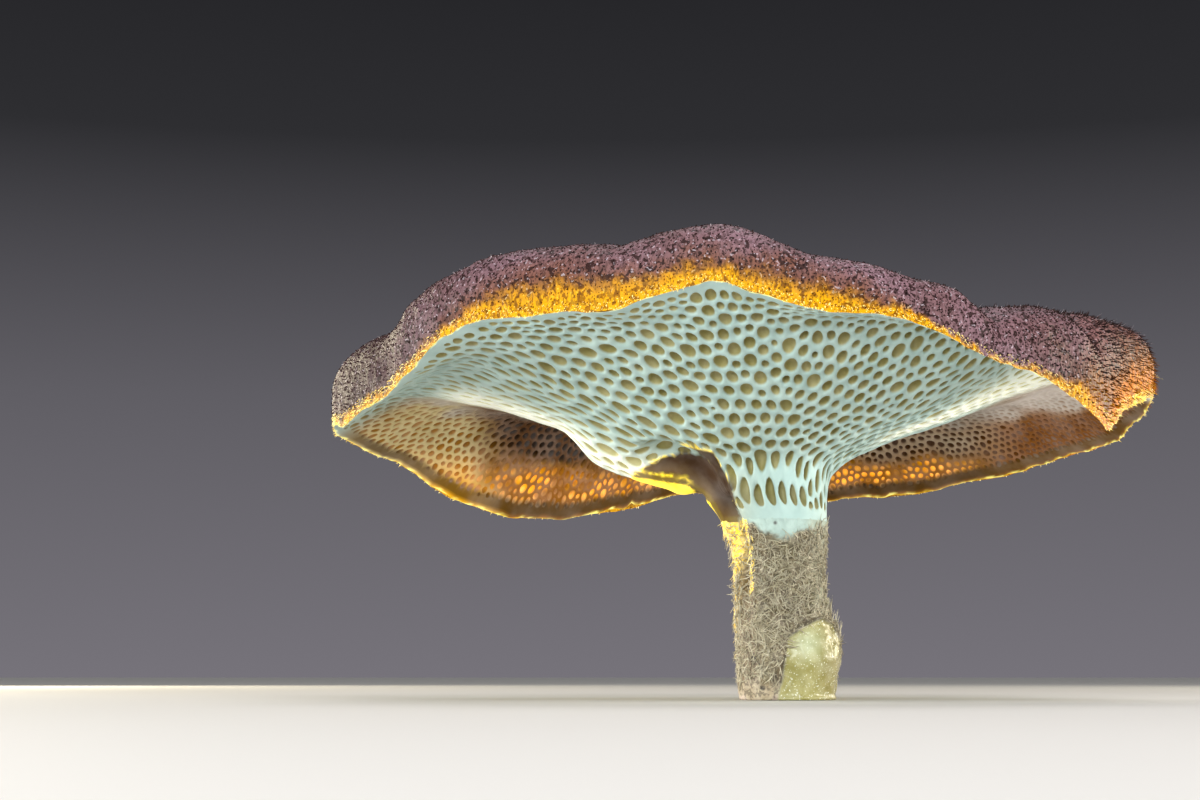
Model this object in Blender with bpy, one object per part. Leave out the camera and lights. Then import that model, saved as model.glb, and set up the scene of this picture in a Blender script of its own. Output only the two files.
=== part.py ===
"""Winter polypore: one small pored mushroom, a wavy cap on a furrowed stem, cut off flat at the base.

Sizes are in millimetres until the meshes are written, X to the right, Y away from the viewer, Z up.
The origin is the middle of the flat cut at the foot of the stem.
"""

import math

import bpy
import numpy as np
from mathutils import Vector
from mathutils.geometry import delaunay_2d_cdt

MM = 0.001

# Cap outline: x, y and height of the thin edge, then how far the margin rises above it
CAP_EDGE = (
    (15.8, 0.5, 12.9, 3.3),
    (15.9, 3.2, 12.6, 3.5),
    (15.2, 7.0, 11.8, 3.7),
    (13.8, 10.0, 11.5, 4.0),
    (11.8, 12.7, 11.1, 4.2),
    (9.4, 14.3, 10.7, 4.3),
    (6.6, 15.3, 10.2, 4.4),
    (3.6, 15.7, 10.0, 4.5),
    (-1.3, 15.5, 10.0, 4.6),
    (-4.7, 14.8, 10.3, 4.5),
    (-6.7, 14.2, 9.8, 4.8),
    (-9.4, 13.1, 9.1, 5.3),
    (-12.1, 11.6, 8.8, 5.5),
    (-14.3, 10.1, 8.9, 5.2),
    (-16.7, 7.8, 9.9, 4.4),
    (-18.1, 5.9, 10.8, 3.7),
    (-19.2, 3.7, 11.3, 3.3),
    (-19.9, 1.5, 11.6, 3.2),
    (-19.9, -0.9, 11.9, 3.5),
    (-18.8, -3.2, 11.7, 4.0),
    (-17.7, -5.2, 12.0, 3.6),
    (-16.4, -7.1, 12.2, 3.6),
    (-15.5, -8.6, 12.6, 3.9),
    (-14.7, -9.7, 13.0, 3.9),
    (-13.5, -11.1, 13.7, 3.3),
    (-12.2, -12.1, 14.3, 3.0),
    (-10.1, -13.2, 14.4, 3.0),
    (-8.2, -14.0, 14.4, 2.9),
    (-6.3, -14.5, 14.4, 2.8),
    (-4.5, -14.8, 14.9, 2.7),
    (-3.0, -14.9, 15.2, 2.6),
    (-1.8, -14.9, 15.1, 2.6),
    (-0.1, -14.8, 14.6, 2.5),
    (1.3, -14.6, 14.2, 2.4),
    (3.4, -14.1, 14.1, 2.2),
    (5.0, -13.5, 13.8, 2.1),
    (7.2, -12.5, 12.9, 2.7),
    (8.3, -11.7, 12.5, 2.7),
    (9.5, -10.9, 12.2, 2.9),
    (10.8, -9.7, 11.7, 3.7),
    (12.2, -8.0, 10.9, 4.7),
    (12.7, -6.8, 10.7, 4.9),
    (13.6, -4.5, 11.5, 4.4),
    (14.4, -2.9, 12.1, 3.9),
)

# Pored underside: share of the way from stem to edge, mean height, rise to the viewer, rise to the right
UNDERSIDE = (
    (0.12, 8.7, 0.0, 0.1),
    (0.15, 9.3, 0.0, 0.1),
    (0.20, 10.0, 0.0, 0.15),
    (0.30, 10.75, -0.1, 0.25),
    (0.47, 11.9, -0.2, 0.1),
    (0.66, 13.1, -0.1, 0.15),
    (0.84, 13.6, 0.6, 0.3),
)

# Web that hangs under the left of the funnel and the hollow in front of it: direction in degrees,
# half width in degrees, fall (a hollow rises), nearest and farthest reach
WEB = (172.0, 20.0, 1.0, 3.0, 8.5)
HOLLOW = (-155.0, 16.0, -1.0, 2.2, 5.6)

# Upper skin inside the rolled margin, in the same terms
UPPER_SKIN = (
    (0.0, 14.4, 0.0, 0.0),
    (0.14, 14.5, 0.1, 0.6),
    (0.35, 14.8, 0.3, 1.2),
    (0.60, 15.2, 0.4, 1.1),
)
ROLL_WIDTH_SHARE = 0.16
ROLL_FULLNESS = 2.6
ROLL_BULGE = 0.3

# Folds of the upper skin on the right: direction and half width in degrees, depth, and the shares of
# the way out at which each starts, is full and ends
CREASES = (
    (-54.0, 3.2, 0.8, 0.68, 1.0, 1.2),
    (-30.0, 4.5, 0.6, 0.68, 1.0, 1.2),
    (-47.0, 22.0, 0.8, 0.25, 0.50, 0.70),
)

# Stem outline from the front: height, middle, half width
STEM_SECTIONS = (
    (0.0, -0.05, 2.10),
    (0.9, 0.00, 2.15),
    (1.7, 0.05, 2.25),
    (2.4, 0.00, 2.20),
    (3.2, -0.15, 2.08),
    (4.2, -0.28, 1.96),
    (5.3, -0.36, 1.90),
    (6.3, -0.36, 1.98),
    (7.2, -0.46, 2.16),
    (8.0, -0.66, 2.38),
    (8.6, -0.90, 2.62),
)
NECK_HEIGHT = 8.55
NECK_GAP = 0.05
NECK_FLARE = 0.15
NECK_RISE = 0.2
CAP_AXIS = (-0.9, 0.0)

# Furrow down the stem's left front: direction in degrees, lowest height, depth and width at the neck,
# and the shares of that depth and width left at the foot
FURROW_DIRECTION = -150.0
FURROW_FOOT = 3.2
FURROW_DEPTH = 1.25
FURROW_HALF_WIDTH = 17.0
FURROW_FOOT_DEPTH = 0.25
FURROW_FOOT_WIDTH = 0.6

# Swollen pad at the foot, on the right front
PAD_DIRECTION = -52.0
PAD_HEIGHT = 1.9
PAD_SWELL = 0.34
PAD_HALF_WIDTH = 34.0
PAD_HALF_HEIGHT = 1.1

# Pits of the underside, coarser here than in life
PIT_SPACING = 1.88
PIT_ROW_SHARE = 0.9
PIT_WALL_SHARE = 0.34
PIT_DEPTH = 0.8
PIT_DEPTH_SHARE = 0.42
PIT_MOUTH_SHARE = 0.35
PIT_JITTER = 0.16

# Facets: columns round the cap and the stem, and where their rings lie
CURVE_STEPS = 24
CAP_COLUMNS = 92
STEM_COLUMNS = 36
CROWN_SHARES = (0.12, 0.24, 0.37, 0.50, 0.62, 0.73, 1.0 - ROLL_WIDTH_SHARE)
ROLL_TURNS = (0.22, 0.44, 0.64, 0.83, 1.0)
STEM_RINGS = (0.0, 0.35, 0.9, 1.5, 2.1, 2.7, 3.3, 4.0, 4.8, 5.6, 6.4, 7.1, 7.8)

CAP_SKIN = (0.16, 0.10, 0.07, 1.0)
STEM_FELT = (0.33, 0.27, 0.16, 1.0)


def closed_curve(points, count):
    """Evenly spaced points on a smooth closed curve through the given ones."""
    points = np.asarray(points, float)
    before, after, beyond = (np.roll(points, -k, axis=0) for k in (-1, 1, 2))
    pieces = []
    for t in np.linspace(0.0, 1.0, CURVE_STEPS, endpoint=False):
        straight = 2 * points + (after - before) * t
        bend = (2 * before - 5 * points + 4 * after - beyond) * t**2
        twist = (3 * points - before - 3 * after + beyond) * t**3
        pieces.append(0.5 * (straight + bend + twist))
    dense = np.stack(pieces, axis=1).reshape(-1, points.shape[1])
    dense = np.vstack([dense, dense[:1]])
    length = np.concatenate([[0], np.cumsum(np.linalg.norm(np.diff(dense[:, :3], axis=0), axis=1))])
    wanted = np.linspace(0.0, length[-1], count, endpoint=False)
    return np.stack([np.interp(wanted, length, dense[:, k]) for k in range(points.shape[1])], axis=1)


def through(knots, values, at):
    """A smooth curve through values at rising knots; values and at may be arrays of one shape."""
    knots = np.asarray(knots, float)
    values = [np.broadcast_to(np.asarray(v, float), np.shape(at)) for v in values]
    at = np.clip(np.asarray(at, float), knots[0], knots[-1])
    steps = np.diff(knots)
    slopes = [(values[k + 1] - values[k]) / steps[k] for k in range(len(steps))]
    tangents = [slopes[0]]
    for k in range(1, len(steps)):
        share = steps[k] / (steps[k] + steps[k - 1])
        tangents.append(share * slopes[k - 1] + (1 - share) * slopes[k])
    tangents.append(slopes[-1])
    out = np.array(values[0], float)
    for k, step in enumerate(steps):
        t = (at - knots[k]) / step
        here = (t >= 0) & (t <= 1)
        ends = (2 * t**3 - 3 * t**2 + 1) * values[k] + (-2 * t**3 + 3 * t**2) * values[k + 1]
        leads = (t**3 - 2 * t**2 + t) * tangents[k] + (t**3 - t**2) * tangents[k + 1]
        out = np.where(here, ends + step * leads, out)
    return out


def turn_from(angle, middle):
    """Degrees from middle to angle, between -180 and 180."""
    return (np.degrees(angle) - middle + 180.0) % 360.0 - 180.0


def hump(distance, half_width):
    return np.exp(-((distance / half_width) ** 2))


def smooth_step(low, high, at):
    t = np.clip((at - low) / (high - low), 0.0, 1.0)
    return t * t * (3 - 2 * t)


EDGE = closed_curve(CAP_EDGE, 1440)
EDGE_ANGLE = np.arctan2(EDGE[:, 1] - CAP_AXIS[1], EDGE[:, 0] - CAP_AXIS[0])
EDGE_ORDER = np.argsort(EDGE_ANGLE)


def edge_at(angle):
    """Reach, height and roll of the cap's edge in a direction."""
    reach = np.hypot(EDGE[:, 0] - CAP_AXIS[0], EDGE[:, 1] - CAP_AXIS[1])
    columns = (reach, EDGE[:, 2], EDGE[:, 3])
    known = EDGE_ANGLE[EDGE_ORDER]
    return [np.interp(angle, known, column[EDGE_ORDER], period=2 * math.pi) for column in columns]


def ring_heights(rings, angle):
    return [mean - near * np.sin(angle) + right * np.cos(angle) for _, mean, near, right in rings]


def crease_depth(angle, share):
    depth = 0.0
    for direction, half_width, most, start, full, end in CREASES:
        along = smooth_step(start, full, share) * (1 - smooth_step(end, end + 0.15, share))
        depth = depth + most * along * hump(turn_from(angle, direction), half_width)
    return depth


def underside_height(x, y):
    """Height of the pored face over a point of the plan."""
    angle = np.arctan2(y - CAP_AXIS[1], x - CAP_AXIS[0])
    reach, edge_height, _ = edge_at(angle)
    share = np.hypot(x - CAP_AXIS[0], y - CAP_AXIS[1]) / reach
    knots = [ring[0] for ring in UNDERSIDE] + [1.0]
    height = through(knots, ring_heights(UNDERSIDE, angle) + [edge_height], share)
    for direction, half_width, fall, nearest, farthest in (WEB, HOLLOW):
        along = smooth_step(nearest - 0.6, nearest + 0.9, share * reach)
        along = along * (1 - smooth_step(farthest - 1.2, farthest + 0.6, share * reach))
        height = height - fall * along * hump(turn_from(angle, direction), half_width)
    return height


def upper_height(angle, share):
    """Height of the upper skin over a point of the plan."""
    _, height, roll = edge_at(angle)
    crest_share = 1.0 - ROLL_WIDTH_SHARE
    knots = [ring[0] for ring in UPPER_SKIN] + [crest_share]
    heights = ring_heights(UPPER_SKIN, angle) + [height + roll]
    inner = through(knots, heights, share)
    across = np.clip((share - crest_share) / ROLL_WIDTH_SHARE, 0.0, 1.0)
    outer = height + roll * (1 - across**ROLL_FULLNESS) ** (1 / ROLL_FULLNESS)
    return np.where(share < crest_share, inner, outer) - crease_depth(angle, share)


def upper_profile(angle):
    """Radius and height of the upper skin from near the middle out to the edge, one row for each ring."""
    reach, height, roll = edge_at(angle)
    rows = []
    for share in CROWN_SHARES:
        rows.append((share * reach, upper_height(angle, np.full_like(angle, share))))
    for turn in ROLL_TURNS:
        across = math.sin(turn * math.pi / 2) ** (2 / ROLL_FULLNESS)
        rise = math.cos(turn * math.pi / 2) ** (2 / ROLL_FULLNESS)
        out = reach * (1 - ROLL_WIDTH_SHARE * (1 - across)) + ROLL_BULGE * math.sin(turn * math.pi)
        crease = crease_depth(angle, out / reach) * (1 - turn)
        rows.append((out - 0.6 * crease, height + roll * rise - crease))
    return rows


def stem_radius(angle, height):
    """Distance from the stem's middle line to its side, furrow and foot pad included."""
    _, middle, half = (np.array(column) for column in zip(*STEM_SECTIONS))
    heights = [section[0] for section in STEM_SECTIONS]
    radius = through(heights, half, np.full_like(angle, height))
    open_share = smooth_step(FURROW_FOOT, NECK_HEIGHT, height)
    deep = FURROW_DEPTH * (FURROW_FOOT_DEPTH + (1 - FURROW_FOOT_DEPTH) * open_share)
    wide = FURROW_HALF_WIDTH * (FURROW_FOOT_WIDTH + (1 - FURROW_FOOT_WIDTH) * open_share)
    furrow = deep * hump(turn_from(angle, FURROW_DIRECTION), wide)
    furrow = furrow * smooth_step(FURROW_FOOT - 0.6, FURROW_FOOT + 1.2, height)
    pad = PAD_SWELL * hump(turn_from(angle, PAD_DIRECTION), PAD_HALF_WIDTH)
    pad = pad * hump(height - PAD_HEIGHT, PAD_HALF_HEIGHT)
    return radius - furrow + pad


def stem_middle(height):
    heights = [section[0] for section in STEM_SECTIONS]
    return float(through(heights, [section[1] for section in STEM_SECTIONS], height))


def stem_ring(height, count):
    angle = np.linspace(-math.pi, math.pi, count, endpoint=False)
    radius = stem_radius(angle, height)
    x = stem_middle(height) + radius * np.cos(angle)
    return np.stack([x, radius * np.sin(angle), np.full(count, height)], axis=1)


class Shell:
    """A closed mesh put together from rings, fans and loose faces."""

    def __init__(self):
        self.points = []
        self.faces = []

    def add(self, points):
        start = len(self.points)
        self.points += [tuple(float(c) for c in p) for p in points]
        return list(range(start, len(self.points)))

    def bridge(self, inner, outer):
        """Quads between two rings of equal count."""
        for k, here in enumerate(inner):
            after = inner[(k + 1) % len(inner)]
            beside = outer[(k + 1) % len(outer)]
            self.faces.append((here, outer[k], beside, after))

    def fan(self, ring, tip, outward=1):
        for k, here in enumerate(ring):
            after = ring[(k + 1) % len(ring)]
            self.faces.append((tip, here, after)[::outward])

    def mesh_object(self, name, material):
        mesh = bpy.data.meshes.new(name)
        mesh.from_pydata([Vector(p) * MM for p in self.points], [], self.faces)
        mesh.validate()
        mesh.update()
        mesh.materials.append(material)
        obj = bpy.data.objects.new(name, mesh)
        bpy.context.scene.collection.objects.link(obj)
        return obj


def pit_centres(inner, outer):
    """Staggered rings of points, evenly spread between two closed borders of the plan."""
    seeded = np.random.default_rng(7)
    centres = []
    inner_reach = np.hypot(inner[:, 0] - CAP_AXIS[0], inner[:, 1] - CAP_AXIS[1]).max()
    outer_reach = np.hypot(outer[:, 0] - CAP_AXIS[0], outer[:, 1] - CAP_AXIS[1]).max()
    rings = int((outer_reach - inner_reach) / (PIT_SPACING * PIT_ROW_SHARE))
    for ring in range(rings):
        share = (ring + 0.5) / rings
        radius = inner_reach + share * (outer_reach - inner_reach)
        count = max(9, int(2 * math.pi * radius / PIT_SPACING))
        angle = (np.arange(count) + 0.5 * (ring % 2)) / count * 2 * math.pi - math.pi
        reach, _, _ = edge_at(angle)
        out = inner_reach + share * (reach - inner_reach)
        out = out + seeded.uniform(-PIT_JITTER, PIT_JITTER, count) * PIT_SPACING
        angle = angle + seeded.uniform(-PIT_JITTER, PIT_JITTER, count) * PIT_SPACING / radius
        centres.append(np.stack([CAP_AXIS[0] + out * np.cos(angle), CAP_AXIS[1] + out * np.sin(angle)], axis=1))
    return np.vstack(centres)


def inward_normal(x, y):
    """Direction from the pored face into the flesh."""
    step = 0.05
    slope_x = (underside_height(x + step, y) - underside_height(x - step, y)) / (2 * step)
    slope_y = (underside_height(x, y + step) - underside_height(x, y - step)) / (2 * step)
    into = np.stack([-slope_x, -slope_y, np.ones_like(slope_x)], axis=-1)
    return into / np.linalg.norm(into, axis=-1, keepdims=True)


def on_underside(plan, depth=0.0):
    x, y = plan[:, 0], plan[:, 1]
    points = np.stack([x, y, underside_height(x, y)], axis=1)
    return points + inward_normal(x, y) * np.reshape(depth, (-1, 1))


def pit_depth(plan):
    """How deep a pit goes, a share of the flesh above it where that is thin."""
    angle = np.arctan2(plan[:, 1] - CAP_AXIS[1], plan[:, 0] - CAP_AXIS[0])
    reach, _, _ = edge_at(angle)
    share = np.hypot(plan[:, 0] - CAP_AXIS[0], plan[:, 1] - CAP_AXIS[1]) / reach
    flesh = upper_height(angle, share) - underside_height(plan[:, 0], plan[:, 1])
    return np.minimum(PIT_DEPTH, PIT_DEPTH_SHARE * flesh)


def add_pored_face(shell, edge_ring, neck_ring):
    """Cells round each pit centre, between the cap's edge and the neck, each sunk to a blunt tip."""
    edge_plan = np.array([shell.points[k][:2] for k in edge_ring])
    neck_plan = np.array([shell.points[k][:2] for k in neck_ring])
    centres = pit_centres(neck_plan, edge_plan)
    plan = np.vstack([edge_plan, neck_plan, centres])
    borders = len(edge_plan) + len(neck_plan)
    edge_loop = [(k, (k + 1) % len(edge_plan)) for k in range(len(edge_plan))]
    neck_loop = [(len(edge_plan) + k, len(edge_plan) + (k + 1) % len(neck_plan)) for k in range(len(neck_plan))]
    loops = edge_loop + neck_loop
    points, _, triangles, origins, _, _ = delaunay_2d_cdt([Vector(p) for p in plan], loops, [], 0, 1e-6)
    if len(points) != len(plan):
        raise ValueError("two pit centres fall together")
    order = [source[0] for source in origins]
    plan_of = {}
    around = {}
    middles = []
    for corners in triangles:
        ids = [order[c] for c in corners]
        middle = plan[ids].mean(axis=0)
        if encloses(neck_plan, middle) or not encloses(edge_plan, middle):
            continue
        for k in ids:
            around.setdefault(k, []).append(len(middles))
        plan_of[len(middles)] = ids
        middles.append(middle)
    middles = np.array(middles)
    corner_ids = shell.add(on_underside(middles))
    add_pits(shell, plan, borders, around, middles, corner_ids)
    add_borders(shell, plan, edge_ring + neck_ring, around, middles, corner_ids, loops, plan_of)


def encloses(border, point):
    """Whether a point of the plan lies in a closed border."""
    after = np.roll(border, -1, axis=0)
    straddles = (border[:, 1] > point[1]) != (after[:, 1] > point[1])
    rise = np.where(after[:, 1] == border[:, 1], 1e-12, after[:, 1] - border[:, 1])
    crossing = border[:, 0] + (point[1] - border[:, 1]) * (after[:, 0] - border[:, 0]) / rise
    return bool(np.count_nonzero(straddles & (crossing > point[0])) % 2)


def sorted_round(plan_point, cells, middles):
    offsets = middles[cells] - plan_point
    return [cells[k] for k in np.argsort(np.arctan2(offsets[:, 1], offsets[:, 0]))]


def add_pits(shell, plan, borders, around, middles, corner_ids):
    for centre in range(borders, len(plan)):
        cells = sorted_round(plan[centre], around[centre], middles)
        rim = [corner_ids[c] for c in cells]
        heart = middles[cells].mean(axis=0)
        mouth_plan = heart + (middles[cells] - heart) * (1 - PIT_WALL_SHARE)
        deep = float(pit_depth(heart[None])[0])
        mouth = shell.add(on_underside(mouth_plan, PIT_MOUTH_SHARE * deep))
        tip = shell.add(on_underside(heart[None], deep))[0]
        for k, here in enumerate(rim):
            after = (k + 1) % len(rim)
            shell.faces.append((here, mouth[k], mouth[after], rim[after]))
        shell.fan(mouth, tip, -1)


def add_borders(shell, plan, ring_ids, around, middles, corner_ids, loops, plan_of):
    """Fills between the outermost cells and the two borders."""
    for k, ring_id in enumerate(ring_ids):
        cells = around[k]
        if len(cells) < 2:
            continue
        for a, b in neighbours(cells, plan_of, k):
            face = (ring_id, corner_ids[a], corner_ids[b])
            add_facing_down(shell, face)
    for a, b in loops:
        cell = next(c for c in around[a] if b in plan_of[c])
        add_facing_down(shell, (ring_ids[a], ring_ids[b], corner_ids[cell]))


def neighbours(cells, plan_of, shared):
    """Pairs of triangles round one border point that share an edge through it."""
    pairs = []
    for i, a in enumerate(cells):
        for b in cells[i + 1 :]:
            if len(set(plan_of[a]) & set(plan_of[b])) == 2 and shared in plan_of[a]:
                pairs.append((a, b))
    return pairs


def add_facing_down(shell, face):
    a, b, c = (np.array(shell.points[k][:2]) for k in face)
    turn = (b[0] - a[0]) * (c[1] - a[1]) - (b[1] - a[1]) * (c[0] - a[0])
    shell.faces.append(face if turn < 0 else face[::-1])


def neck_ring_points(height, count, flare=0.0):
    """A ring round the neck: the stem's own section, wider by the flare."""
    ring = stem_ring(NECK_HEIGHT, count)
    away = ring[:, :2] - np.array(CAP_AXIS)
    radius = np.hypot(away[:, 0], away[:, 1])[:, None]
    wider = away / radius * (radius + flare)
    plan = np.array(CAP_AXIS) + wider
    return np.column_stack([plan, np.full(count, height)])


def make_cap(material):
    shell = Shell()
    edge_points = closed_curve(CAP_EDGE, CAP_COLUMNS)
    angle = np.arctan2(edge_points[:, 1] - CAP_AXIS[1], edge_points[:, 0] - CAP_AXIS[0])
    rings = []
    for radius, height in upper_profile(angle):
        x = CAP_AXIS[0] + radius * np.cos(angle)
        y = CAP_AXIS[1] + radius * np.sin(angle)
        rings.append(shell.add(np.stack([x, y, np.broadcast_to(height, x.shape)], axis=1)))
    middle = shell.add([(CAP_AXIS[0], CAP_AXIS[1], UPPER_SKIN[0][1])])[0]
    shell.fan(rings[0], middle)
    for inner, outer in zip(rings, rings[1:]):
        shell.bridge(inner, outer)
    low = neck_ring_points(NECK_HEIGHT, STEM_COLUMNS)
    low_ring = shell.add(low)
    upper = neck_ring_points(NECK_HEIGHT, STEM_COLUMNS, NECK_FLARE)
    upper[:, 2] = np.maximum(underside_height(upper[:, 0], upper[:, 1]), NECK_HEIGHT + NECK_RISE)
    upper_ring = shell.add(upper)
    shell.bridge(upper_ring, low_ring)
    foot = shell.add([(CAP_AXIS[0], CAP_AXIS[1], NECK_HEIGHT)])[0]
    shell.fan(low_ring, foot, -1)
    add_pored_face(shell, rings[-1], upper_ring)
    return shell.mesh_object("cap", material)


def make_stem(material):
    shell = Shell()
    top = NECK_HEIGHT - NECK_GAP
    rings = [shell.add(stem_ring(height, STEM_COLUMNS)) for height in (*STEM_RINGS, top)]
    foot = shell.add([(stem_middle(0.0), 0.0, 0.0)])[0]
    head = shell.add([(stem_middle(top), 0.0, top)])[0]
    shell.fan(rings[0], foot, -1)
    for lower, higher in zip(rings, rings[1:]):
        shell.bridge(higher, lower)
    shell.fan(rings[-1], head)
    return shell.mesh_object("stem", material)


def plain_material(name, colour, roughness):
    material = bpy.data.materials.new(name)
    material.use_nodes = True
    shader = material.node_tree.nodes["Principled BSDF"]
    shader.inputs["Base Color"].default_value = colour
    shader.inputs["Roughness"].default_value = roughness
    shader.inputs["Metallic"].default_value = 0.0
    return material


def main():
    for obj in list(bpy.data.objects):
        bpy.data.objects.remove(obj, do_unlink=True)
    make_cap(plain_material("cap_skin", CAP_SKIN, 0.85))
    make_stem(plain_material("stem_felt", STEM_FELT, 0.9))


main()
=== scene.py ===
import math

import bpy
import numpy as np
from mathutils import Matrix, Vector
from mathutils.geometry import delaunay_2d_cdt


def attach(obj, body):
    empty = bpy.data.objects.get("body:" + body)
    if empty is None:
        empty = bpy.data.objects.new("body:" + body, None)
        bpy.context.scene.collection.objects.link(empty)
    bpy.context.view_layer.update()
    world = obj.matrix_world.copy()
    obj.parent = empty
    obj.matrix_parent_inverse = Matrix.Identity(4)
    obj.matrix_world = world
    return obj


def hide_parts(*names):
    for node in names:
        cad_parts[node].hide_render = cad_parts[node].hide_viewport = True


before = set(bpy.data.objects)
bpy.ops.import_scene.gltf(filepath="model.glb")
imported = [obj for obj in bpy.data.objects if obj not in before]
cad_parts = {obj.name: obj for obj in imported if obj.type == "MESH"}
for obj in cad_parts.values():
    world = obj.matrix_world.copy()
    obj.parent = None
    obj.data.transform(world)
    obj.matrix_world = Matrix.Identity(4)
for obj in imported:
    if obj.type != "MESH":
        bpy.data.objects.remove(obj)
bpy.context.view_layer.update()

# Sizes are in millimetres until a mesh is written
MM = 0.001

# Cap outline: x, y and height of the thin edge, then how far the margin rises above it
CAP_EDGE = (
    (15.8, 0.5, 12.9, 3.3),
    (15.9, 3.2, 12.6, 3.5),
    (15.2, 7.0, 11.8, 3.7),
    (13.8, 10.0, 11.5, 4.0),
    (11.8, 12.7, 11.1, 4.2),
    (9.4, 14.3, 10.7, 4.3),
    (6.6, 15.3, 10.2, 4.4),
    (3.6, 15.7, 10.0, 4.5),
    (-1.3, 15.5, 10.0, 4.6),
    (-4.7, 14.8, 10.3, 4.5),
    (-6.7, 14.2, 9.8, 4.8),
    (-9.4, 13.1, 9.1, 5.3),
    (-12.1, 11.6, 8.8, 5.5),
    (-14.3, 10.1, 8.9, 5.2),
    (-16.7, 7.8, 9.9, 4.4),
    (-18.1, 5.9, 10.8, 3.7),
    (-19.2, 3.7, 11.3, 3.3),
    (-19.9, 1.5, 11.6, 3.2),
    (-19.9, -0.9, 11.9, 3.5),
    (-18.8, -3.2, 11.7, 4.0),
    (-17.7, -5.2, 12.0, 3.6),
    (-16.4, -7.1, 12.2, 3.6),
    (-15.5, -8.6, 12.6, 3.9),
    (-14.7, -9.7, 13.0, 3.9),
    (-13.5, -11.1, 13.7, 3.3),
    (-12.2, -12.1, 14.3, 3.0),
    (-10.1, -13.2, 14.4, 3.0),
    (-8.2, -14.0, 14.4, 2.9),
    (-6.3, -14.5, 14.4, 2.8),
    (-4.5, -14.8, 14.9, 2.7),
    (-3.0, -14.9, 15.2, 2.6),
    (-1.8, -14.9, 15.1, 2.6),
    (-0.1, -14.8, 14.6, 2.5),
    (1.3, -14.6, 14.2, 2.4),
    (3.4, -14.1, 14.1, 2.2),
    (5.0, -13.5, 13.8, 2.1),
    (7.2, -12.5, 12.9, 2.7),
    (8.3, -11.7, 12.5, 2.7),
    (9.5, -10.9, 12.2, 2.9),
    (10.8, -9.7, 11.7, 3.7),
    (12.2, -8.0, 10.9, 4.7),
    (12.7, -6.8, 10.7, 4.9),
    (13.6, -4.5, 11.5, 4.4),
    (14.4, -2.9, 12.1, 3.9),
)

# Pored underside: share of the way from stem to edge, mean height, rise to the viewer, rise to the right
UNDERSIDE = (
    (0.12, 8.7, 0.0, 0.1),
    (0.15, 9.3, 0.0, 0.1),
    (0.20, 10.0, 0.0, 0.15),
    (0.30, 10.75, -0.1, 0.25),
    (0.47, 11.9, -0.2, 0.1),
    (0.66, 13.1, -0.1, 0.15),
    (0.84, 13.6, 0.6, 0.3),
)

# Web under the left of the funnel and the hollow before it: direction, half width, fall, reach from and to
WEB = (172.0, 20.0, 1.0, 3.0, 8.5)
HOLLOW = (-155.0, 16.0, -1.0, 2.2, 5.6)

# Upper skin inside the rolled margin, in the same terms as the underside
UPPER_SKIN = (
    (0.0, 14.4, 0.0, 0.0),
    (0.14, 14.5, 0.1, 0.6),
    (0.35, 14.8, 0.3, 1.2),
    (0.60, 15.2, 0.4, 1.1),
)
ROLL_WIDTH_SHARE = 0.16
ROLL_FULLNESS = 2.6
ROLL_BULGE = 0.3

# Folds of the upper skin: direction, half width, depth, and the shares of the way out of start, full and end
CREASES = (
    (-54.0, 3.2, 0.8, 0.68, 1.0, 1.2),
    (-30.0, 4.5, 0.6, 0.68, 1.0, 1.2),
    (-47.0, 22.0, 0.8, 0.25, 0.50, 0.70),
)

# Stem outline from the front: height, middle, half width
STEM_SECTIONS = (
    (0.0, -0.05, 2.10),
    (0.9, 0.00, 2.15),
    (1.7, 0.05, 2.25),
    (2.4, 0.00, 2.20),
    (3.2, -0.15, 2.08),
    (4.2, -0.28, 1.96),
    (5.3, -0.36, 1.90),
    (6.3, -0.36, 1.98),
    (7.2, -0.46, 2.16),
    (8.0, -0.66, 2.38),
    (8.6, -0.90, 2.62),
)
NECK_HEIGHT = 8.55
CAP_AXIS = np.array((-0.9, 0.0))

FURROW_DIRECTION = -150.0
FURROW_FOOT = 3.2
FURROW_DEPTH = 1.25
FURROW_HALF_WIDTH = 17.0

PAD_DIRECTION = -52.0
PAD_HEIGHT = 1.9
PAD_SWELL = 0.34

# Where the pores start on the neck, and the bare lip inside the thin edge
PORE_FOOT = 7.6
LIP_WIDTH = 0.32


def closed_curve(points, count):
    """Evenly spaced points on a smooth closed curve through the given ones."""
    points = np.asarray(points, float)
    before, after, beyond = (np.roll(points, -k, axis=0) for k in (-1, 1, 2))
    pieces = []
    for t in np.linspace(0.0, 1.0, 24, endpoint=False):
        straight = 2 * points + (after - before) * t
        bend = (2 * before - 5 * points + 4 * after - beyond) * t**2
        twist = (3 * points - before - 3 * after + beyond) * t**3
        pieces.append(0.5 * (straight + bend + twist))
    dense = np.stack(pieces, axis=1).reshape(-1, points.shape[1])
    dense = np.vstack([dense, dense[:1]])
    length = np.concatenate([[0], np.cumsum(np.linalg.norm(np.diff(dense[:, :3], axis=0), axis=1))])
    wanted = np.linspace(0.0, length[-1], count, endpoint=False)
    return np.stack([np.interp(wanted, length, dense[:, k]) for k in range(points.shape[1])], axis=1)


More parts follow.
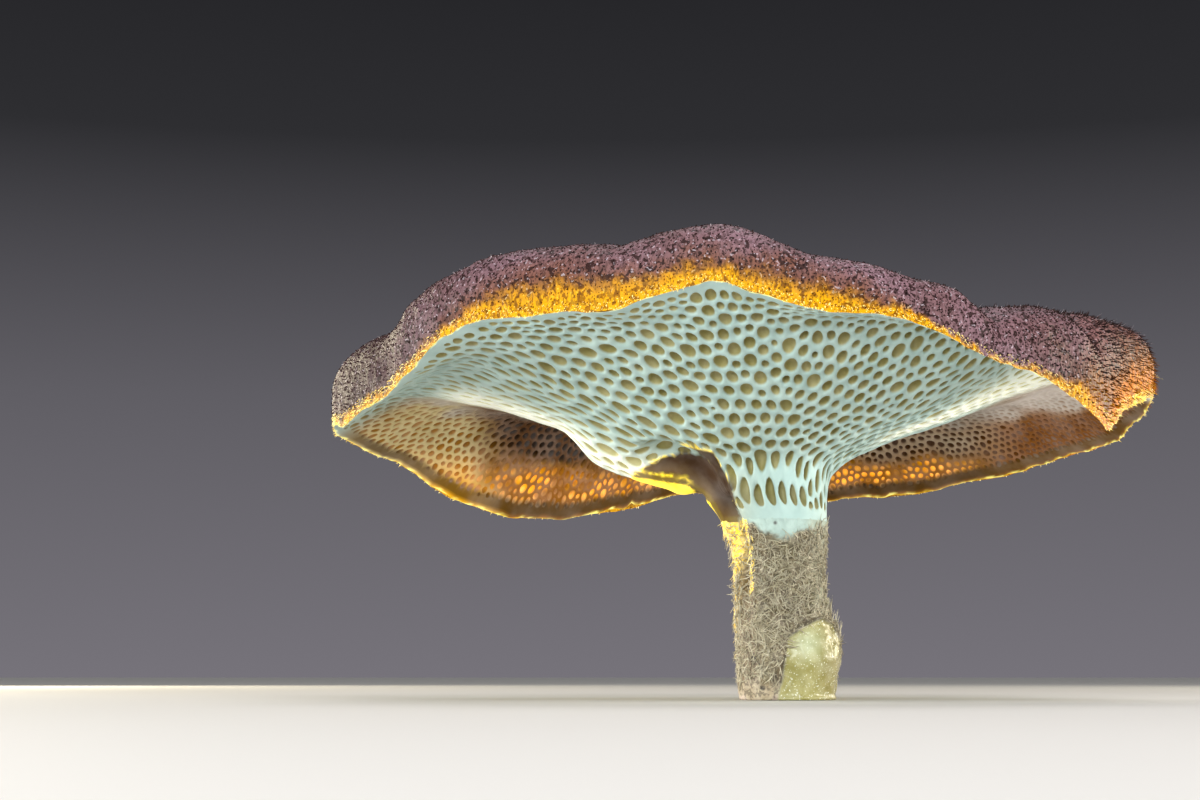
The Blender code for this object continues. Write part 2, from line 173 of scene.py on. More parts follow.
def through(knots, values, at):
    """A smooth curve through values at rising knots; values and at may be arrays of one shape."""
    knots = np.asarray(knots, float)
    values = [np.broadcast_to(np.asarray(v, float), np.shape(at)) for v in values]
    at = np.clip(np.asarray(at, float), knots[0], knots[-1])
    steps = np.diff(knots)
    slopes = [(values[k + 1] - values[k]) / steps[k] for k in range(len(steps))]
    tangents = [slopes[0]]
    for k in range(1, len(steps)):
        share = steps[k] / (steps[k] + steps[k - 1])
        tangents.append(share * slopes[k - 1] + (1 - share) * slopes[k])
    tangents.append(slopes[-1])
    out = np.array(values[0], float)
    for k, step in enumerate(steps):
        t = (at - knots[k]) / step
        here = (t >= 0) & (t <= 1)
        ends = (2 * t**3 - 3 * t**2 + 1) * values[k] + (-2 * t**3 + 3 * t**2) * values[k + 1]
        leads = (t**3 - 2 * t**2 + t) * tangents[k] + (t**3 - t**2) * tangents[k + 1]
        out = np.where(here, ends + step * leads, out)
    return out


def turn_from(angle, middle):
    """Degrees from middle to angle, between -180 and 180."""
    return (np.degrees(angle) - middle + 180.0) % 360.0 - 180.0


def hump(distance, half_width):
    return np.exp(-((distance / half_width) ** 2))


def smooth_step(low, high, at):
    t = np.clip((at - low) / (high - low), 0.0, 1.0)
    return t * t * (3 - 2 * t)


def lumps(points, size, seed):
    """Smooth random values from -1 to 1 over points in space, with lumps of the given size."""
    table = np.random.default_rng(seed).uniform(-1.0, 1.0, 4096)
    scaled = np.asarray(points, float) / size
    cell = np.floor(scaled).astype(np.int64)
    part = scaled - cell
    part = part * part * (3 - 2 * part)
    total = np.zeros(scaled.shape[:-1])
    for corner in np.ndindex(2, 2, 2):
        key = (cell + np.array(corner)) * np.array((73856093, 19349663, 83492791))
        index = (key[..., 0] ^ key[..., 1] ^ key[..., 2]) % 4096
        total = total + table[index] * np.prod(np.where(corner, part, 1 - part), axis=-1)
    return total


EDGE = closed_curve(CAP_EDGE, 1440)
EDGE_ANGLE = np.arctan2(EDGE[:, 1] - CAP_AXIS[1], EDGE[:, 0] - CAP_AXIS[0])
EDGE_ORDER = np.argsort(EDGE_ANGLE)


def edge_at(angle):
    """Reach and height of the cap's edge and the rise of its margin in a direction."""
    reach = np.hypot(EDGE[:, 0] - CAP_AXIS[0], EDGE[:, 1] - CAP_AXIS[1])
    known = EDGE_ANGLE[EDGE_ORDER]
    columns = (reach, EDGE[:, 2], EDGE[:, 3])
    reach, height, roll = [np.interp(angle, known, column[EDGE_ORDER], period=2 * math.pi) for column in columns]
    return reach, height, roll


def fine_edge(angle):
    """Small shifts of the thin edge, outward and down."""
    round_it = 17.0 * np.stack([np.cos(angle), np.sin(angle), 0 * angle], axis=-1)
    waves = 0.07 * lumps(round_it, 1.1, 3) + 0.05 * lumps(round_it, 0.42, 4)
    drop = 0.10 * lumps(round_it, 1.6, 5) + 0.05 * lumps(round_it, 0.5, 6)
    tear = 0.17 * hump(turn_from(angle, 117.0), 0.7)
    return waves - tear, drop


def ring_heights(rings, angle):
    return [mean - near * np.sin(angle) + right * np.cos(angle) for _, mean, near, right in rings]


def crease_depth(angle, share):
    depth = 0.0
    for direction, half_width, most, start, full, end in CREASES:
        along = smooth_step(start, full, share) * (1 - smooth_step(end, end + 0.15, share))
        depth = depth + most * along * hump(turn_from(angle, direction), half_width)
    return depth


def underside_height(angle, radius):
    """Height of the pored face at a distance from the cap's axis."""
    reach, edge_height, _ = edge_at(angle)
    share = radius / reach
    knots = [ring[0] for ring in UNDERSIDE] + [1.0]
    height = through(knots, ring_heights(UNDERSIDE, angle) + [edge_height], share)
    for direction, half_width, fall, nearest, farthest in (WEB, HOLLOW):
        along = smooth_step(nearest - 0.6, nearest + 0.9, radius)
        along = along * (1 - smooth_step(farthest - 1.2, farthest + 0.6, radius))
        height = height - fall * along * hump(turn_from(angle, direction), half_width)
    return height


def upper_height(angle, share):
    """Height of the upper skin inside the rolled margin."""
    _, height, roll = edge_at(angle)
    knots = [ring[0] for ring in UPPER_SKIN] + [1.0 - ROLL_WIDTH_SHARE]
    heights = ring_heights(UPPER_SKIN, angle) + [height + roll]
    return through(knots, heights, share) - crease_depth(angle, share)


def stem_radius(angle, height):
    """Distance from the stem's middle line to its side, furrow and foot pad included."""
    height = np.broadcast_to(height, np.shape(angle)).astype(float)
    radius = through([s[0] for s in STEM_SECTIONS], [s[2] for s in STEM_SECTIONS], height)
    open_share = smooth_step(FURROW_FOOT, NECK_HEIGHT, height)
    away = turn_from(angle, FURROW_DIRECTION)
    furrow = FURROW_DEPTH * (0.25 + 0.75 * open_share) * hump(away, FURROW_HALF_WIDTH * (0.6 + 0.4 * open_share))
    furrow = furrow * smooth_step(FURROW_FOOT - 0.6, FURROW_FOOT + 1.2, height)
    pad = PAD_SWELL * hump(turn_from(angle, PAD_DIRECTION), 34.0) * hump(height - PAD_HEIGHT, 1.1)
    return radius - furrow + pad


def stem_middle(height):
    return through([s[0] for s in STEM_SECTIONS], [s[1] for s in STEM_SECTIONS], np.asarray(height, float))


class Sheet:
    """A surface that goes once round the cap's axis, as rows of points from its start to its end."""

    def __init__(self, points):
        self.points = points
        self.rows, self.turns = points.shape[:2]
        across = np.roll(points, -1, axis=1) - np.roll(points, 1, axis=1)
        out = np.gradient(points, axis=0)
        normal = np.cross(out, across)
        length = np.linalg.norm(normal, axis=-1, keepdims=True)
        self.normals = normal / np.maximum(length, 1e-9)

    def at(self, angle, along):
        """Points and normals in given directions and shares of the way along."""
        column = (np.asarray(angle) + math.pi) / (2 * math.pi) * self.turns
        row = np.clip(np.asarray(along), 0.0, 1.0) * (self.rows - 1)
        left = np.floor(column).astype(int)
        low = np.minimum(np.floor(row).astype(int), self.rows - 2)
        s = (column - left)[..., None]
        t = (row - low)[..., None]
        left, right = left % self.turns, (left + 1) % self.turns
        found = []
        for field in (self.points, self.normals):
            near = field[low, left] * (1 - s) + field[low, right] * s
            far = field[low + 1, left] * (1 - s) + field[low + 1, right] * s
            found.append(near * (1 - t) + far * t)
        length = np.linalg.norm(found[1], axis=-1, keepdims=True)
        return found[0], found[1] / np.maximum(length, 1e-9)


TURNS = 1440
ROUND = np.linspace(-math.pi, math.pi, TURNS, endpoint=False)


def skin_sheet():
    """The upper skin from the middle of the cap over the rolled margin to the thin edge."""
    reach, height, roll = edge_at(ROUND)
    shift, drop = fine_edge(ROUND)
    crest_share = 1.0 - ROLL_WIDTH_SHARE
    rows = []
    for share in np.linspace(0.0, crest_share, 90):
        radius = share * reach
        rows.append((radius, upper_height(ROUND, np.full(TURNS, share))))
    for turn in np.linspace(0.0, 1.0, 61)[1:]:
        across = math.sin(turn * math.pi / 2) ** (2 / ROLL_FULLNESS)
        rise = math.cos(turn * math.pi / 2) ** (2 / ROLL_FULLNESS)
        out = reach * (1 - ROLL_WIDTH_SHARE * (1 - across)) + ROLL_BULGE * math.sin(turn * math.pi)
        crease = crease_depth(ROUND, out / reach) * (1 - turn)
        rows.append((out - 0.6 * crease + shift * turn**3, height + roll * rise - crease - drop * turn**3))
    profile = np.array([[r, h] for r, h in rows])
    for _ in range(30):
        middle = profile[70:112]
        profile[70:112] = 0.5 * middle + 0.25 * (profile[69:111] + profile[71:113])
    return round_axis(profile[:, 0], profile[:, 1])


def round_axis(radius, height):
    x = CAP_AXIS[0] + radius * np.cos(ROUND)
    y = CAP_AXIS[1] + radius * np.sin(ROUND)
    return np.stack([x, y, height], axis=-1)


# Path of the pored face outward from the neck: way along in millimetres, share of the way out
WAY_OUT = (
    (0.0, 0.0),
    (0.93, 0.056),
    (2.7, 0.174),
    (5.8, 0.377),
    (9.1, 0.60),
    (12.1, 0.81),
    (15.4, 1.0),
)
NECK_WAY = 1.9
PORE_WAY = NECK_WAY + WAY_OUT[-1][0]


def pored_sheet():
    """The pored face from the neck out to the thin edge, in even steps of its own length."""
    reach, _, _ = edge_at(ROUND)
    shift, drop = fine_edge(ROUND)
    neck = stem_radius(ROUND, 8.5)
    middle = float(stem_middle(8.5))
    neck_x = middle + neck * np.cos(ROUND) - CAP_AXIS[0]
    neck_y = neck * np.sin(ROUND) - CAP_AXIS[1]
    flare = np.hypot(neck_x, neck_y) + 0.15
    rows = []
    for way in np.linspace(0.0, PORE_WAY, 220):
        climb = np.clip(way / 0.95, 0.0, 1.0)
        z = PORE_FOOT + climb * (8.5 - PORE_FOOT)
        radius = stem_radius(ROUND, z) + 0.015
        low = np.stack([float(stem_middle(z)) + radius * np.cos(ROUND), radius * np.sin(ROUND), np.full(TURNS, z)], axis=-1)
        if way < 0.95:
            rows.append(low)
            continue
        outward = float(through([w for w, _ in WAY_OUT], [s for _, s in WAY_OUT], max(0.0, way - NECK_WAY)))
        out = flare + outward * (reach - flare) + shift * outward**8
        high = round_axis(out, np.maximum(underside_height(ROUND, out), 8.7) - drop * outward**8)
        share = smooth_step(0.95, NECK_WAY + 0.3, way)
        rows.append(low * (1 - share) + high * share)
    points = np.array(rows)
    for _ in range(14):
        points[6:40] = 0.5 * points[6:40] + 0.25 * (points[5:39] + points[7:41])
    return Sheet(points)


def wrapped_grid(name, turns, rows, sheet, rise=None):
    """A grid primitive laid on a sheet and closed round the axis."""
    bpy.ops.object.select_all(action="DESELECT")
    bpy.ops.mesh.primitive_grid_add(x_subdivisions=turns, y_subdivisions=rows, size=2)
    obj = bpy.context.object
    obj.name = name
    flat = vertex_places(obj)
    along = (flat[:, 1] + 1) / 2
    points, normals = sheet.at(flat[:, 0] * math.pi, along)
    if rise is not None:
        points = points + normals * rise(points, along)[:, None]
    obj.data.vertices.foreach_set("co", (points * MM).ravel())
    obj.data.attributes.new("along", "FLOAT", "POINT").data.foreach_set("value", along)
    bpy.ops.object.mode_set(mode="EDIT")
    bpy.ops.mesh.select_all(action="SELECT")
    bpy.ops.mesh.remove_doubles(threshold=1e-7)
    bpy.ops.mesh.normals_make_consistent(inside=False)
    bpy.ops.object.mode_set(mode="OBJECT")
    bpy.ops.object.shade_smooth()
    return obj


def vertex_places(obj):
    flat = np.empty(len(obj.data.vertices) * 3)
    obj.data.vertices.foreach_get("co", flat)
    return flat.reshape(-1, 3)


def mesh_piece(name, points, loops, sizes, values=None, smooth=True):
    """A mesh object from arrays: points in millimetres, corner list, corners in each face."""
    mesh = bpy.data.meshes.new(name)
    mesh.vertices.add(len(points))
    mesh.vertices.foreach_set("co", (np.asarray(points) * MM).ravel())
    mesh.loops.add(len(loops))
    mesh.loops.foreach_set("vertex_index", np.asarray(loops, np.int32))
    mesh.polygons.add(len(sizes))
    starts = np.concatenate([[0], np.cumsum(sizes)[:-1]]).astype(np.int32)
    mesh.polygons.foreach_set("loop_start", starts)
    mesh.update(calc_edges=True)
    for key, value in (values or {}).items():
        mesh.attributes.new(key, "FLOAT", "POINT").data.foreach_set("value", np.asarray(value, float))
    mesh.polygons.foreach_set("use_smooth", np.full(len(sizes), smooth))
    obj = bpy.data.objects.new(name, mesh)
    bpy.context.scene.collection.objects.link(obj)
    return obj


SKIN = Sheet(skin_sheet())
PORED = pored_sheet()
DISC_START = 2.3


# How much longer than wide the pores of the raised near side are drawn
NEAR_STRETCH = 1.6


def drawn_out(angle):
    return 1 + NEAR_STRETCH * hump(turn_from(angle, -95.0), 62.0)


def disc_place(point):
    """Direction and share of the way along for points of the unrolled disc."""
    angle = np.arctan2(point[:, 1], point[:, 0])
    way = (np.hypot(point[:, 0], point[:, 1]) - DISC_START) * drawn_out(angle)
    return angle, way / PORE_WAY


def on_disc(angle, way):
    radius = DISC_START + way / drawn_out(angle)
    return np.stack([radius * np.cos(angle), radius * np.sin(angle)], axis=1)


def disc_ring(along, count):
    return on_disc(np.linspace(-math.pi, math.pi, count, endpoint=False), along * PORE_WAY)


# Distances between pores: way out, distance outward, distance sideways
PORE_PITCH = (
    (0.0, 0.72, 0.48),
    (1.5, 0.68, 0.54),
    (4.0, 0.58, 0.62),
    (9.0, 0.53, 0.60),
    (14.0, 0.47, 0.55),
    (17.3, 0.40, 0.46),
)
LIP_ALONG = 1 - LIP_WIDTH / PORE_WAY
NECK_BORDER = 64
LIP_BORDER = 480


def pore_starts():
    """Staggered and shaken rings of pore centres on the unrolled disc."""
    seeded = np.random.default_rng(11)
    knots = [row[0] for row in PORE_PITCH]
    ways = np.linspace(0.3, PORE_WAY, 400)
    angles = np.linspace(-math.pi, math.pi, 720, endpoint=False)
    near = hump(turn_from(angles, -90.0), 62.0)
    sides = hump(turn_from(angles, -158.0), 30.0) + 0.85 * hump(turn_from(angles, -20.0), 26.0)
    wider = 0.76 + 0.17 * near + 0.06 * sides
    apart = wider + 1.05 * sides
    outward = np.interp(ways, knots, [row[1] for row in PORE_PITCH])[:, None] * (drawn_out(angles) * wider)[None] * 0.9
    rings = 0.5 + np.cumsum((ways[1] - ways[0]) / outward, axis=0)
    centres = []
    for ring in range(1, int(rings.max()) + 1):
        way = np.array([np.interp(ring, rings[:, k], ways, left=0.3, right=99.0) for k in range(len(angles))])
        inside = way < PORE_WAY - LIP_WIDTH - 0.15
        rows = np.minimum(way / PORE_WAY, 1.0) * (PORED.rows - 1)
        place = PORED.points[rows.astype(int), np.arange(len(angles)) * 2]
        radius = np.hypot(place[:, 0] - CAP_AXIS[0], place[:, 1] - CAP_AXIS[1])
        outer = smooth_step(3.0, 8.0, way)
        sideways = np.interp(way, knots, [row[2] for row in PORE_PITCH]) * (wider + (apart - wider) * outer)
        many = np.concatenate([[0], np.cumsum(inside * radius / sideways) * 2 * math.pi / len(angles)])
        count = int(many[-1])
        if count < 3:
            continue
        wanted = (np.arange(count) + seeded.uniform(0.1, 0.9)) * many[-1] / count
        wanted = wanted + seeded.uniform(-0.30, 0.30, count)
        angle = np.interp(wanted, many, np.append(angles, math.pi))
        here = np.interp(angle, angles, np.minimum(way, PORE_WAY), period=2 * math.pi)
        pitch = np.interp(here, knots, [row[1] for row in PORE_PITCH]) * drawn_out(angle)
        here = here + seeded.uniform(-0.30, 0.30, count) * pitch
        here = np.clip(here, 0.2, PORE_WAY - LIP_WIDTH - 0.12)
        centres.append(on_disc(angle, here))
    return np.vstack(centres)


def triangulate(centres, neck, lip):
    plan = np.vstack([neck, lip, centres])
    loops = [(k, (k + 1) % len(neck)) for k in range(len(neck))]
    loops += [(len(neck) + k, len(neck) + (k + 1) % len(lip)) for k in range(len(lip))]
    found = delaunay_2d_cdt([Vector(p) for p in plan], loops, [], 0, 1e-6)
    order = np.array([source[0] for source in found[3]])
    corners = order[np.array(found[2])]
    middle = plan[corners].mean(axis=1)
    flat = np.array([len(set(c)) for c in corners]) == 3
    among = (corners < len(neck)).all(axis=1)
    beyond = disc_place(middle)[1] > LIP_ALONG
    return plan, corners[flat & ~among & ~beyond], loops


def settle(centres, neck, lip, rounds):
    """Moves each centre to the middle of the ground round it."""
    borders = len(neck) + len(lip)
    for _ in range(rounds):
        plan, corners, _ = triangulate(centres, neck, lip)
        a, b, c = (plan[corners[:, k]] for k in range(3))
        middle = (a + b + c) / 3
        area = np.abs((b[:, 0] - a[:, 0]) * (c[:, 1] - a[:, 1]) - (b[:, 1] - a[:, 1]) * (c[:, 0] - a[:, 0]))
        total = np.zeros(len(plan))
        moved = np.zeros((len(plan), 2))
        for k in range(3):
            np.add.at(total, corners[:, k], area)
            np.add.at(moved, corners[:, k], middle * area[:, None])
        centres = moved[borders:] / total[borders:, None]
    return centres


# Inside of one pore: width as a share of its cell, and depth as a share of its full depth
PORE_SECTION = ((0.92, 0.02), (0.80, 0.12), (0.70, 0.42), (0.58, 0.85))
FAR_SECTION = ((0.86, 0.03), (0.70, 0.25), (0.56, 0.80))
PORE_DEPTH = 0.42


def pore_cells(centres, neck, lip):
    """All pores as one net: disc points, depth of each, and the corners of its four- and three-cornered faces."""
    plan, corners, loops = triangulate(centres, neck, lip)
    middle = plan[corners].mean(axis=1)
    around = [[] for _ in plan]
    for number, ids in enumerate(corners):
        for k in ids:
            around[k].append(number)
    borders = len(neck) + len(lip)
    points = [tuple(p) for p in plan[:borders]] + [tuple(p) for p in middle]
    deep = [0.0] * len(points)
    between = {}
    quads = []
    triangles = []

    def shared_middle(a, b):
        key = (min(a, b), max(a, b))
        if key not in between:
            between[key] = len(points)
            points.append(tuple((middle[a] + middle[b]) / 2))
            deep.append(0.0)
        return between[key]

    seeded = np.random.default_rng(12)
    for centre in range(borders, len(plan)):
        wide = seeded.choice((1.06, 1.0, 0.92, 0.74), p=(0.25, 0.4, 0.25, 0.1))
        cells = around[centre]
        offsets = middle[cells] - plan[centre]
        cells = [cells[k] for k in np.argsort(np.arctan2(offsets[:, 1], offsets[:, 0]))]
        rim = []
        for k, here in enumerate(cells):
            rim += [borders + here, shared_middle(here, cells[(k + 1) % len(cells)])]
        outline = np.array([points[k] for k in rim])
        heart = outline.mean(axis=0)
        for _ in range(2):
            outline = 0.5 * outline + 0.25 * (np.roll(outline, 1, axis=0) + np.roll(outline, -1, axis=0))
        before = rim
        for width, share in FAR_SECTION if plan[centre][1] > 1.0 else PORE_SECTION:
            ring = list(range(len(points), len(points) + len(rim)))
            points += [tuple(p) for p in heart + (outline - heart) * width * (wide if share > 0.05 else 1.0)]
            deep += [share] * len(rim)
            for k in range(len(rim)):
                after = (k + 1) % len(rim)
                quads.append((before[k], ring[k], ring[after], before[after]))
            before = ring
        points.append(tuple(heart))
        deep.append(1.0)
        for k in range(len(rim)):
            triangles.append((before[k], len(points) - 1, before[(k + 1) % len(rim)]))

    for k in range(borders):
        cells = around[k]
        for i, a in enumerate(cells):
            for b in cells[i + 1 :]:
                if len(set(corners[a]) & set(corners[b])) == 2:
                    joint = between.get((min(a, b), max(a, b)))
                    if joint is None:
                        triangles.append((k, borders + a, borders + b))
                    else:
                        triangles += [(k, borders + a, joint), (k, joint, borders + b)]
    for a, b in loops:
        cell = next((c for c in around[a] if b in corners[c]), None)
        if cell is not None:
            triangles.append((a, b, borders + cell))
    points = np.array(points)
    triangles = np.array(triangles)
    a, b, c = (points[triangles[:, k]] for k in range(3))
    turn = (b[:, 0] - a[:, 0]) * (c[:, 1] - a[:, 1]) - (b[:, 1] - a[:, 1]) * (c[:, 0] - a[:, 0])
    triangles[turn > 0] = triangles[turn > 0][:, ::-1]
    return points, np.array(deep), np.array(quads), triangles


def lip_rings(first, start):
    """The smooth lip between the outermost pores and the thin edge."""
    points = []
    quads = []
    before = list(range(first, first + LIP_BORDER))
    for along in (LIP_ALONG + (1 - LIP_ALONG) * s for s in (0.25, 0.5, 0.75, 1.0)):
        ring = list(range(start + len(points), start + len(points) + LIP_BORDER))
        points += [tuple(p) for p in disc_ring(along, LIP_BORDER)]
        for k in range(LIP_BORDER):
            after = (k + 1) % LIP_BORDER
            quads.append((before[k], before[after], ring[after], ring[k]))
        before = ring
    return np.array(points), np.array(quads)


def hollow_share(points):
    """How far points lie in the bare hollow under the left of the funnel."""
    x, y, z = points[..., 0], points[..., 1], points[..., 2]
    top = np.interp(x, (-7.2, -6.1, -5.2, -4.3, -3.0, -2.45, -1.9), (9.4, 10.0, 10.45, 10.6, 10.3, 9.3, 7.5))
    below = smooth_step(-0.04, 0.05, top - z)
    return below * smooth_step(-7.4, -6.6, x) * (1 - smooth_step(-1.9, -1.7, x)) * (1 - smooth_step(1.0, 2.0, y))


def face_part(middles):
    """Which piece of the pored face each polygon belongs to: front, back left or back right."""
    return np.where(middles[:, 1] < 1.5, 0, np.where(middles[:, 0] < -1.0, 1, 2))


def make_pores():
    neck = disc_ring(0.0, NECK_BORDER)
    lip = disc_ring(LIP_ALONG, LIP_BORDER)
    centres = settle(pore_starts(), neck, lip, 2)
    disc, deep, quads, triangles = pore_cells(centres, neck, lip)
    lip_points, lip_quads = lip_rings(NECK_BORDER, len(disc))
    disc = np.vstack([disc, lip_points])
    deep = np.concatenate([deep, np.zeros(len(lip_points))])
    angle, along = disc_place(disc)
    points, into = PORED.at(angle, along)
    bare = hollow_share(points)
    way = along * PORE_WAY
    depth = PORE_DEPTH * smooth_step(0.25, 1.3, way) * (1 - 0.62 * smooth_step(PORE_WAY - 3.0, PORE_WAY - 0.4, way))
    depth = depth * (1 - bare) * (1 + 0.15 * lumps(points, 1.3, 21))
    upright = np.array((0.0, 0.0, 1.0))
    axis = 0.7 * into + 0.3 * upright
    axis = axis / np.linalg.norm(axis, axis=1, keepdims=True)
    uneven = 0.018 * lumps(points, 0.32, 22) + 0.03 * lumps(points, 1.1, 23)
    points = points + axis * (deep * depth)[:, None] + into * (uneven * smooth_step(0.2, 1.0, way))[:, None]
    values = {"pit": deep * smooth_step(0.05, 0.3, depth / PORE_DEPTH), "along": along, "bare": bare}
    quads = np.vstack([quads, lip_quads])
    made = []
    part_of_quad, part_of_triangle = (face_part(points[faces].mean(axis=1)) for faces in (quads, triangles))
    for part, name in enumerate(("pored_face_front", "pored_face_back_left", "pored_face_back_right")):
        q = quads[part_of_quad == part]
        t = triangles[part_of_triangle == part]
        loops = np.concatenate([q.ravel(), t.ravel()])
        used, fresh = np.unique(loops, return_inverse=True)
        sizes = np.concatenate([np.full(len(q), 4), np.full(len(t), 3)])
        kept = {key: value[used] for key, value in values.items()}
        made.append(mesh_piece(name, points[used], fresh, sizes, kept))
    return made


def skin_relief(points, along):
    low = 0.05 * lumps(points, 0.9, 31) + 0.035 * lumps(points, 0.33, 32)
    return low * smooth_step(1.0, 0.93, along)


# Height in millimetres of the golden band of painted backlight above the cap's edge, by direction in degrees
BACKLIT_GOLD_BAND = (
    (-180, 0.50),
    (-150, 0.35),
    (-136, 0.60),
    (-125, 1.35),
    (-118, 1.50),
    (-108, 1.10),
    (-101, 0.85),
    (-92, 1.00),
    (-84, 1.20),
    (-76, 1.00),
    (-70, 0.55),
    (-64, 0.20),
    (-50, 0.12),
    (-40, 0.60),
    (-32, 2.20),
    (-12, 2.60),
    (0, 2.40),
    (20, 1.40),
    (45, 0.90),
    (90, 0.70),
    (135, 0.70),
    (180, 0.50),
)


def rgb(red, green, blue):
    """A colour as seen on screen, from 0 to 255, as linear parts."""
    screen = np.array((red, green, blue)) / 255
    return np.where(screen <= 0.04045, screen / 12.92, ((screen + 0.055) / 1.055) ** 2.4)


def painted(ground, layers):
    """Colours of points: a ground with layers laid over it, each by its own share."""
    colour = np.array(ground, float)
    for share, tint in layers:
        colour = colour + (np.asarray(tint) - colour) * np.asarray(share)[..., None]
    return colour


def around_axis(points):
    """Direction of points from the cap's axis, and their distance as a share of the cap's reach."""
    away = points[:, :2] - CAP_AXIS
    angle = np.arctan2(away[:, 1], away[:, 0])
    return angle, np.hypot(away[:, 0], away[:, 1]) / edge_at(angle)[0]


def skin_values(points):
    """Colour, painted backlight glow and backlit goldenness of the upper skin at points, with painted shade on the left
    lobe and in the fold.
    """
    angle, share = around_axis(points)
    _, edge_height, roll = edge_at(angle)
    degrees = np.degrees(angle)
    outer = smooth_step(0.80, 0.90, share)
    above = points[:, 2] - edge_height + 0.22 * lumps(points, 0.7, 41) + 0.20 * lumps(points, 0.22, 42)
    band = np.interp(degrees, [row[0] for row in BACKLIT_GOLD_BAND], [row[1] for row in BACKLIT_GOLD_BAND])
    # Golden band along the margin, with a wider amber fringe: painted backlight coming through the thin flesh
    backlit_gold = outer * (1 - smooth_step(0.25 * band, 1.05 * band, above))
    backlit_amber = outer * (1 - smooth_step(0.6 * band, 1.7 * band + 0.2, above)) * smooth_step(0.3, 0.8, band)
    lobe = smooth_step(-38.0, -28.0, degrees) * (1 - smooth_step(25.0, 60.0, degrees))
    # Painted shade along the fold of the front-right margin, where the golden glow is held back
    fold = np.interp(degrees, (-43.0, -36.0, -25.0), (1.5, 1.2, 0.95))
    fold_shade = outer * hump(above - fold, 0.42) * smooth_step(-46.0, -42.0, degrees) * (1 - smooth_step(-26.0, -20.0, degrees))
    # Painted shade: the left lobe of the skin is darkened and its glow held back
    left_lobe_shade = hump(turn_from(angle, -166.0), 30.0) * smooth_step(0.60, 0.92, share)
    # Small flap on the right lobe painted bright yellow and glowing: painted backlight
    backlit_flap = hump(degrees + 8.0, 8.0) * outer * (1 - smooth_step(0.2, 0.5, above))
    pale = lumps(points, 1.4, 43) * 0.5 + 0.5
    brown = painted(np.broadcast_to(rgb(118, 86, 88), points.shape), [(0.7 * pale, rgb(150, 118, 130))])
    inside = 1 - smooth_step(0.55, 0.90, share)
    tone_here = painted(
        brown,
        [
            (0.55 * inside, rgb(98, 70, 56)),
            (0.95 * left_lobe_shade, rgb(58, 40, 42)),
            (0.6 * lobe * outer, rgb(138, 96, 92)),
            (0.8 * backlit_amber, rgb(120, 68, 18)),
            (backlit_gold, painted(np.broadcast_to(rgb(214, 150, 0), points.shape), [(lobe, rgb(206, 118, 6))])),
            (0.85 * fold_shade, rgb(112, 80, 72)),
            (0.9 * backlit_flap, rgb(236, 196, 30)),
        ],
    )
    glow = np.maximum(backlit_gold * (1 - 0.7 * fold_shade) * (1 - 0.6 * left_lobe_shade), backlit_flap)
    return {"tone": tone_here, "glow": glow, "backlit_gold": backlit_gold}


def spikes(name, roots, leans, lengths, widths, values=None):
    """Closed three-sided spikes, one on each root, pointing along its lean."""
    leans = leans / np.linalg.norm(leans, axis=1, keepdims=True)
    helper = np.where(np.abs(leans[:, 2:]) < 0.9, (0.0, 0.0, 1.0), (1.0, 0.0, 0.0))
    side = np.cross(leans, helper)
    side = side / np.linalg.norm(side, axis=1, keepdims=True)
    other = np.cross(leans, side)
    corners = []
    for turn in (0.0, 2 * math.pi / 3, 4 * math.pi / 3):
        corners.append(roots + widths[:, None] * (math.cos(turn) * side + math.sin(turn) * other))
    tips = roots + leans * lengths[:, None]
    points = np.stack(corners + [tips], axis=1).reshape(-1, 3)
    faces = np.array(((0, 1, 3), (1, 2, 3), (2, 0, 3), (0, 2, 1)))
    loops = (faces[None] + 4 * np.arange(len(roots))[:, None, None]).ravel()
    spread = {key: np.repeat(value, 4) for key, value in (values or {}).items()}
    spread["tip"] = np.tile((0.0, 0.0, 0.0, 1.0), len(roots))
    return mesh_piece(name, points, loops, np.full(4 * len(roots), 3), spread, smooth=False)


def scattered(sheet, start, end, pitch, seed):
    """Directions and shares along, spread evenly over part of a sheet."""
    seeded = np.random.default_rng(seed)
    rows = sheet.points
    radius = np.hypot(rows[..., 0] - CAP_AXIS[0], rows[..., 1] - CAP_AXIS[1]).mean(axis=1)
    steps = np.linalg.norm(np.diff(rows, axis=0), axis=-1).mean(axis=1)
    length = np.concatenate([[0], np.cumsum(steps)])
    share = np.arange(sheet.rows) / (sheet.rows - 1)
    way = np.interp(start, share, length)
    last = np.interp(end, share, length)
    angles = []
    alongs = []
    while way < last:
        here = np.interp(way, length, share)
        count = max(3, int(2 * math.pi * np.interp(way, length, radius) / pitch))
        angles.append((np.arange(count) + seeded.uniform(-0.45, 0.45, count)) / count * 2 * math.pi - math.pi)
        alongs.append(np.interp(way + seeded.uniform(-0.45, 0.45, count) * pitch, length, share))
        way += pitch * 0.9
    return np.concatenate(angles), np.concatenate(alongs)


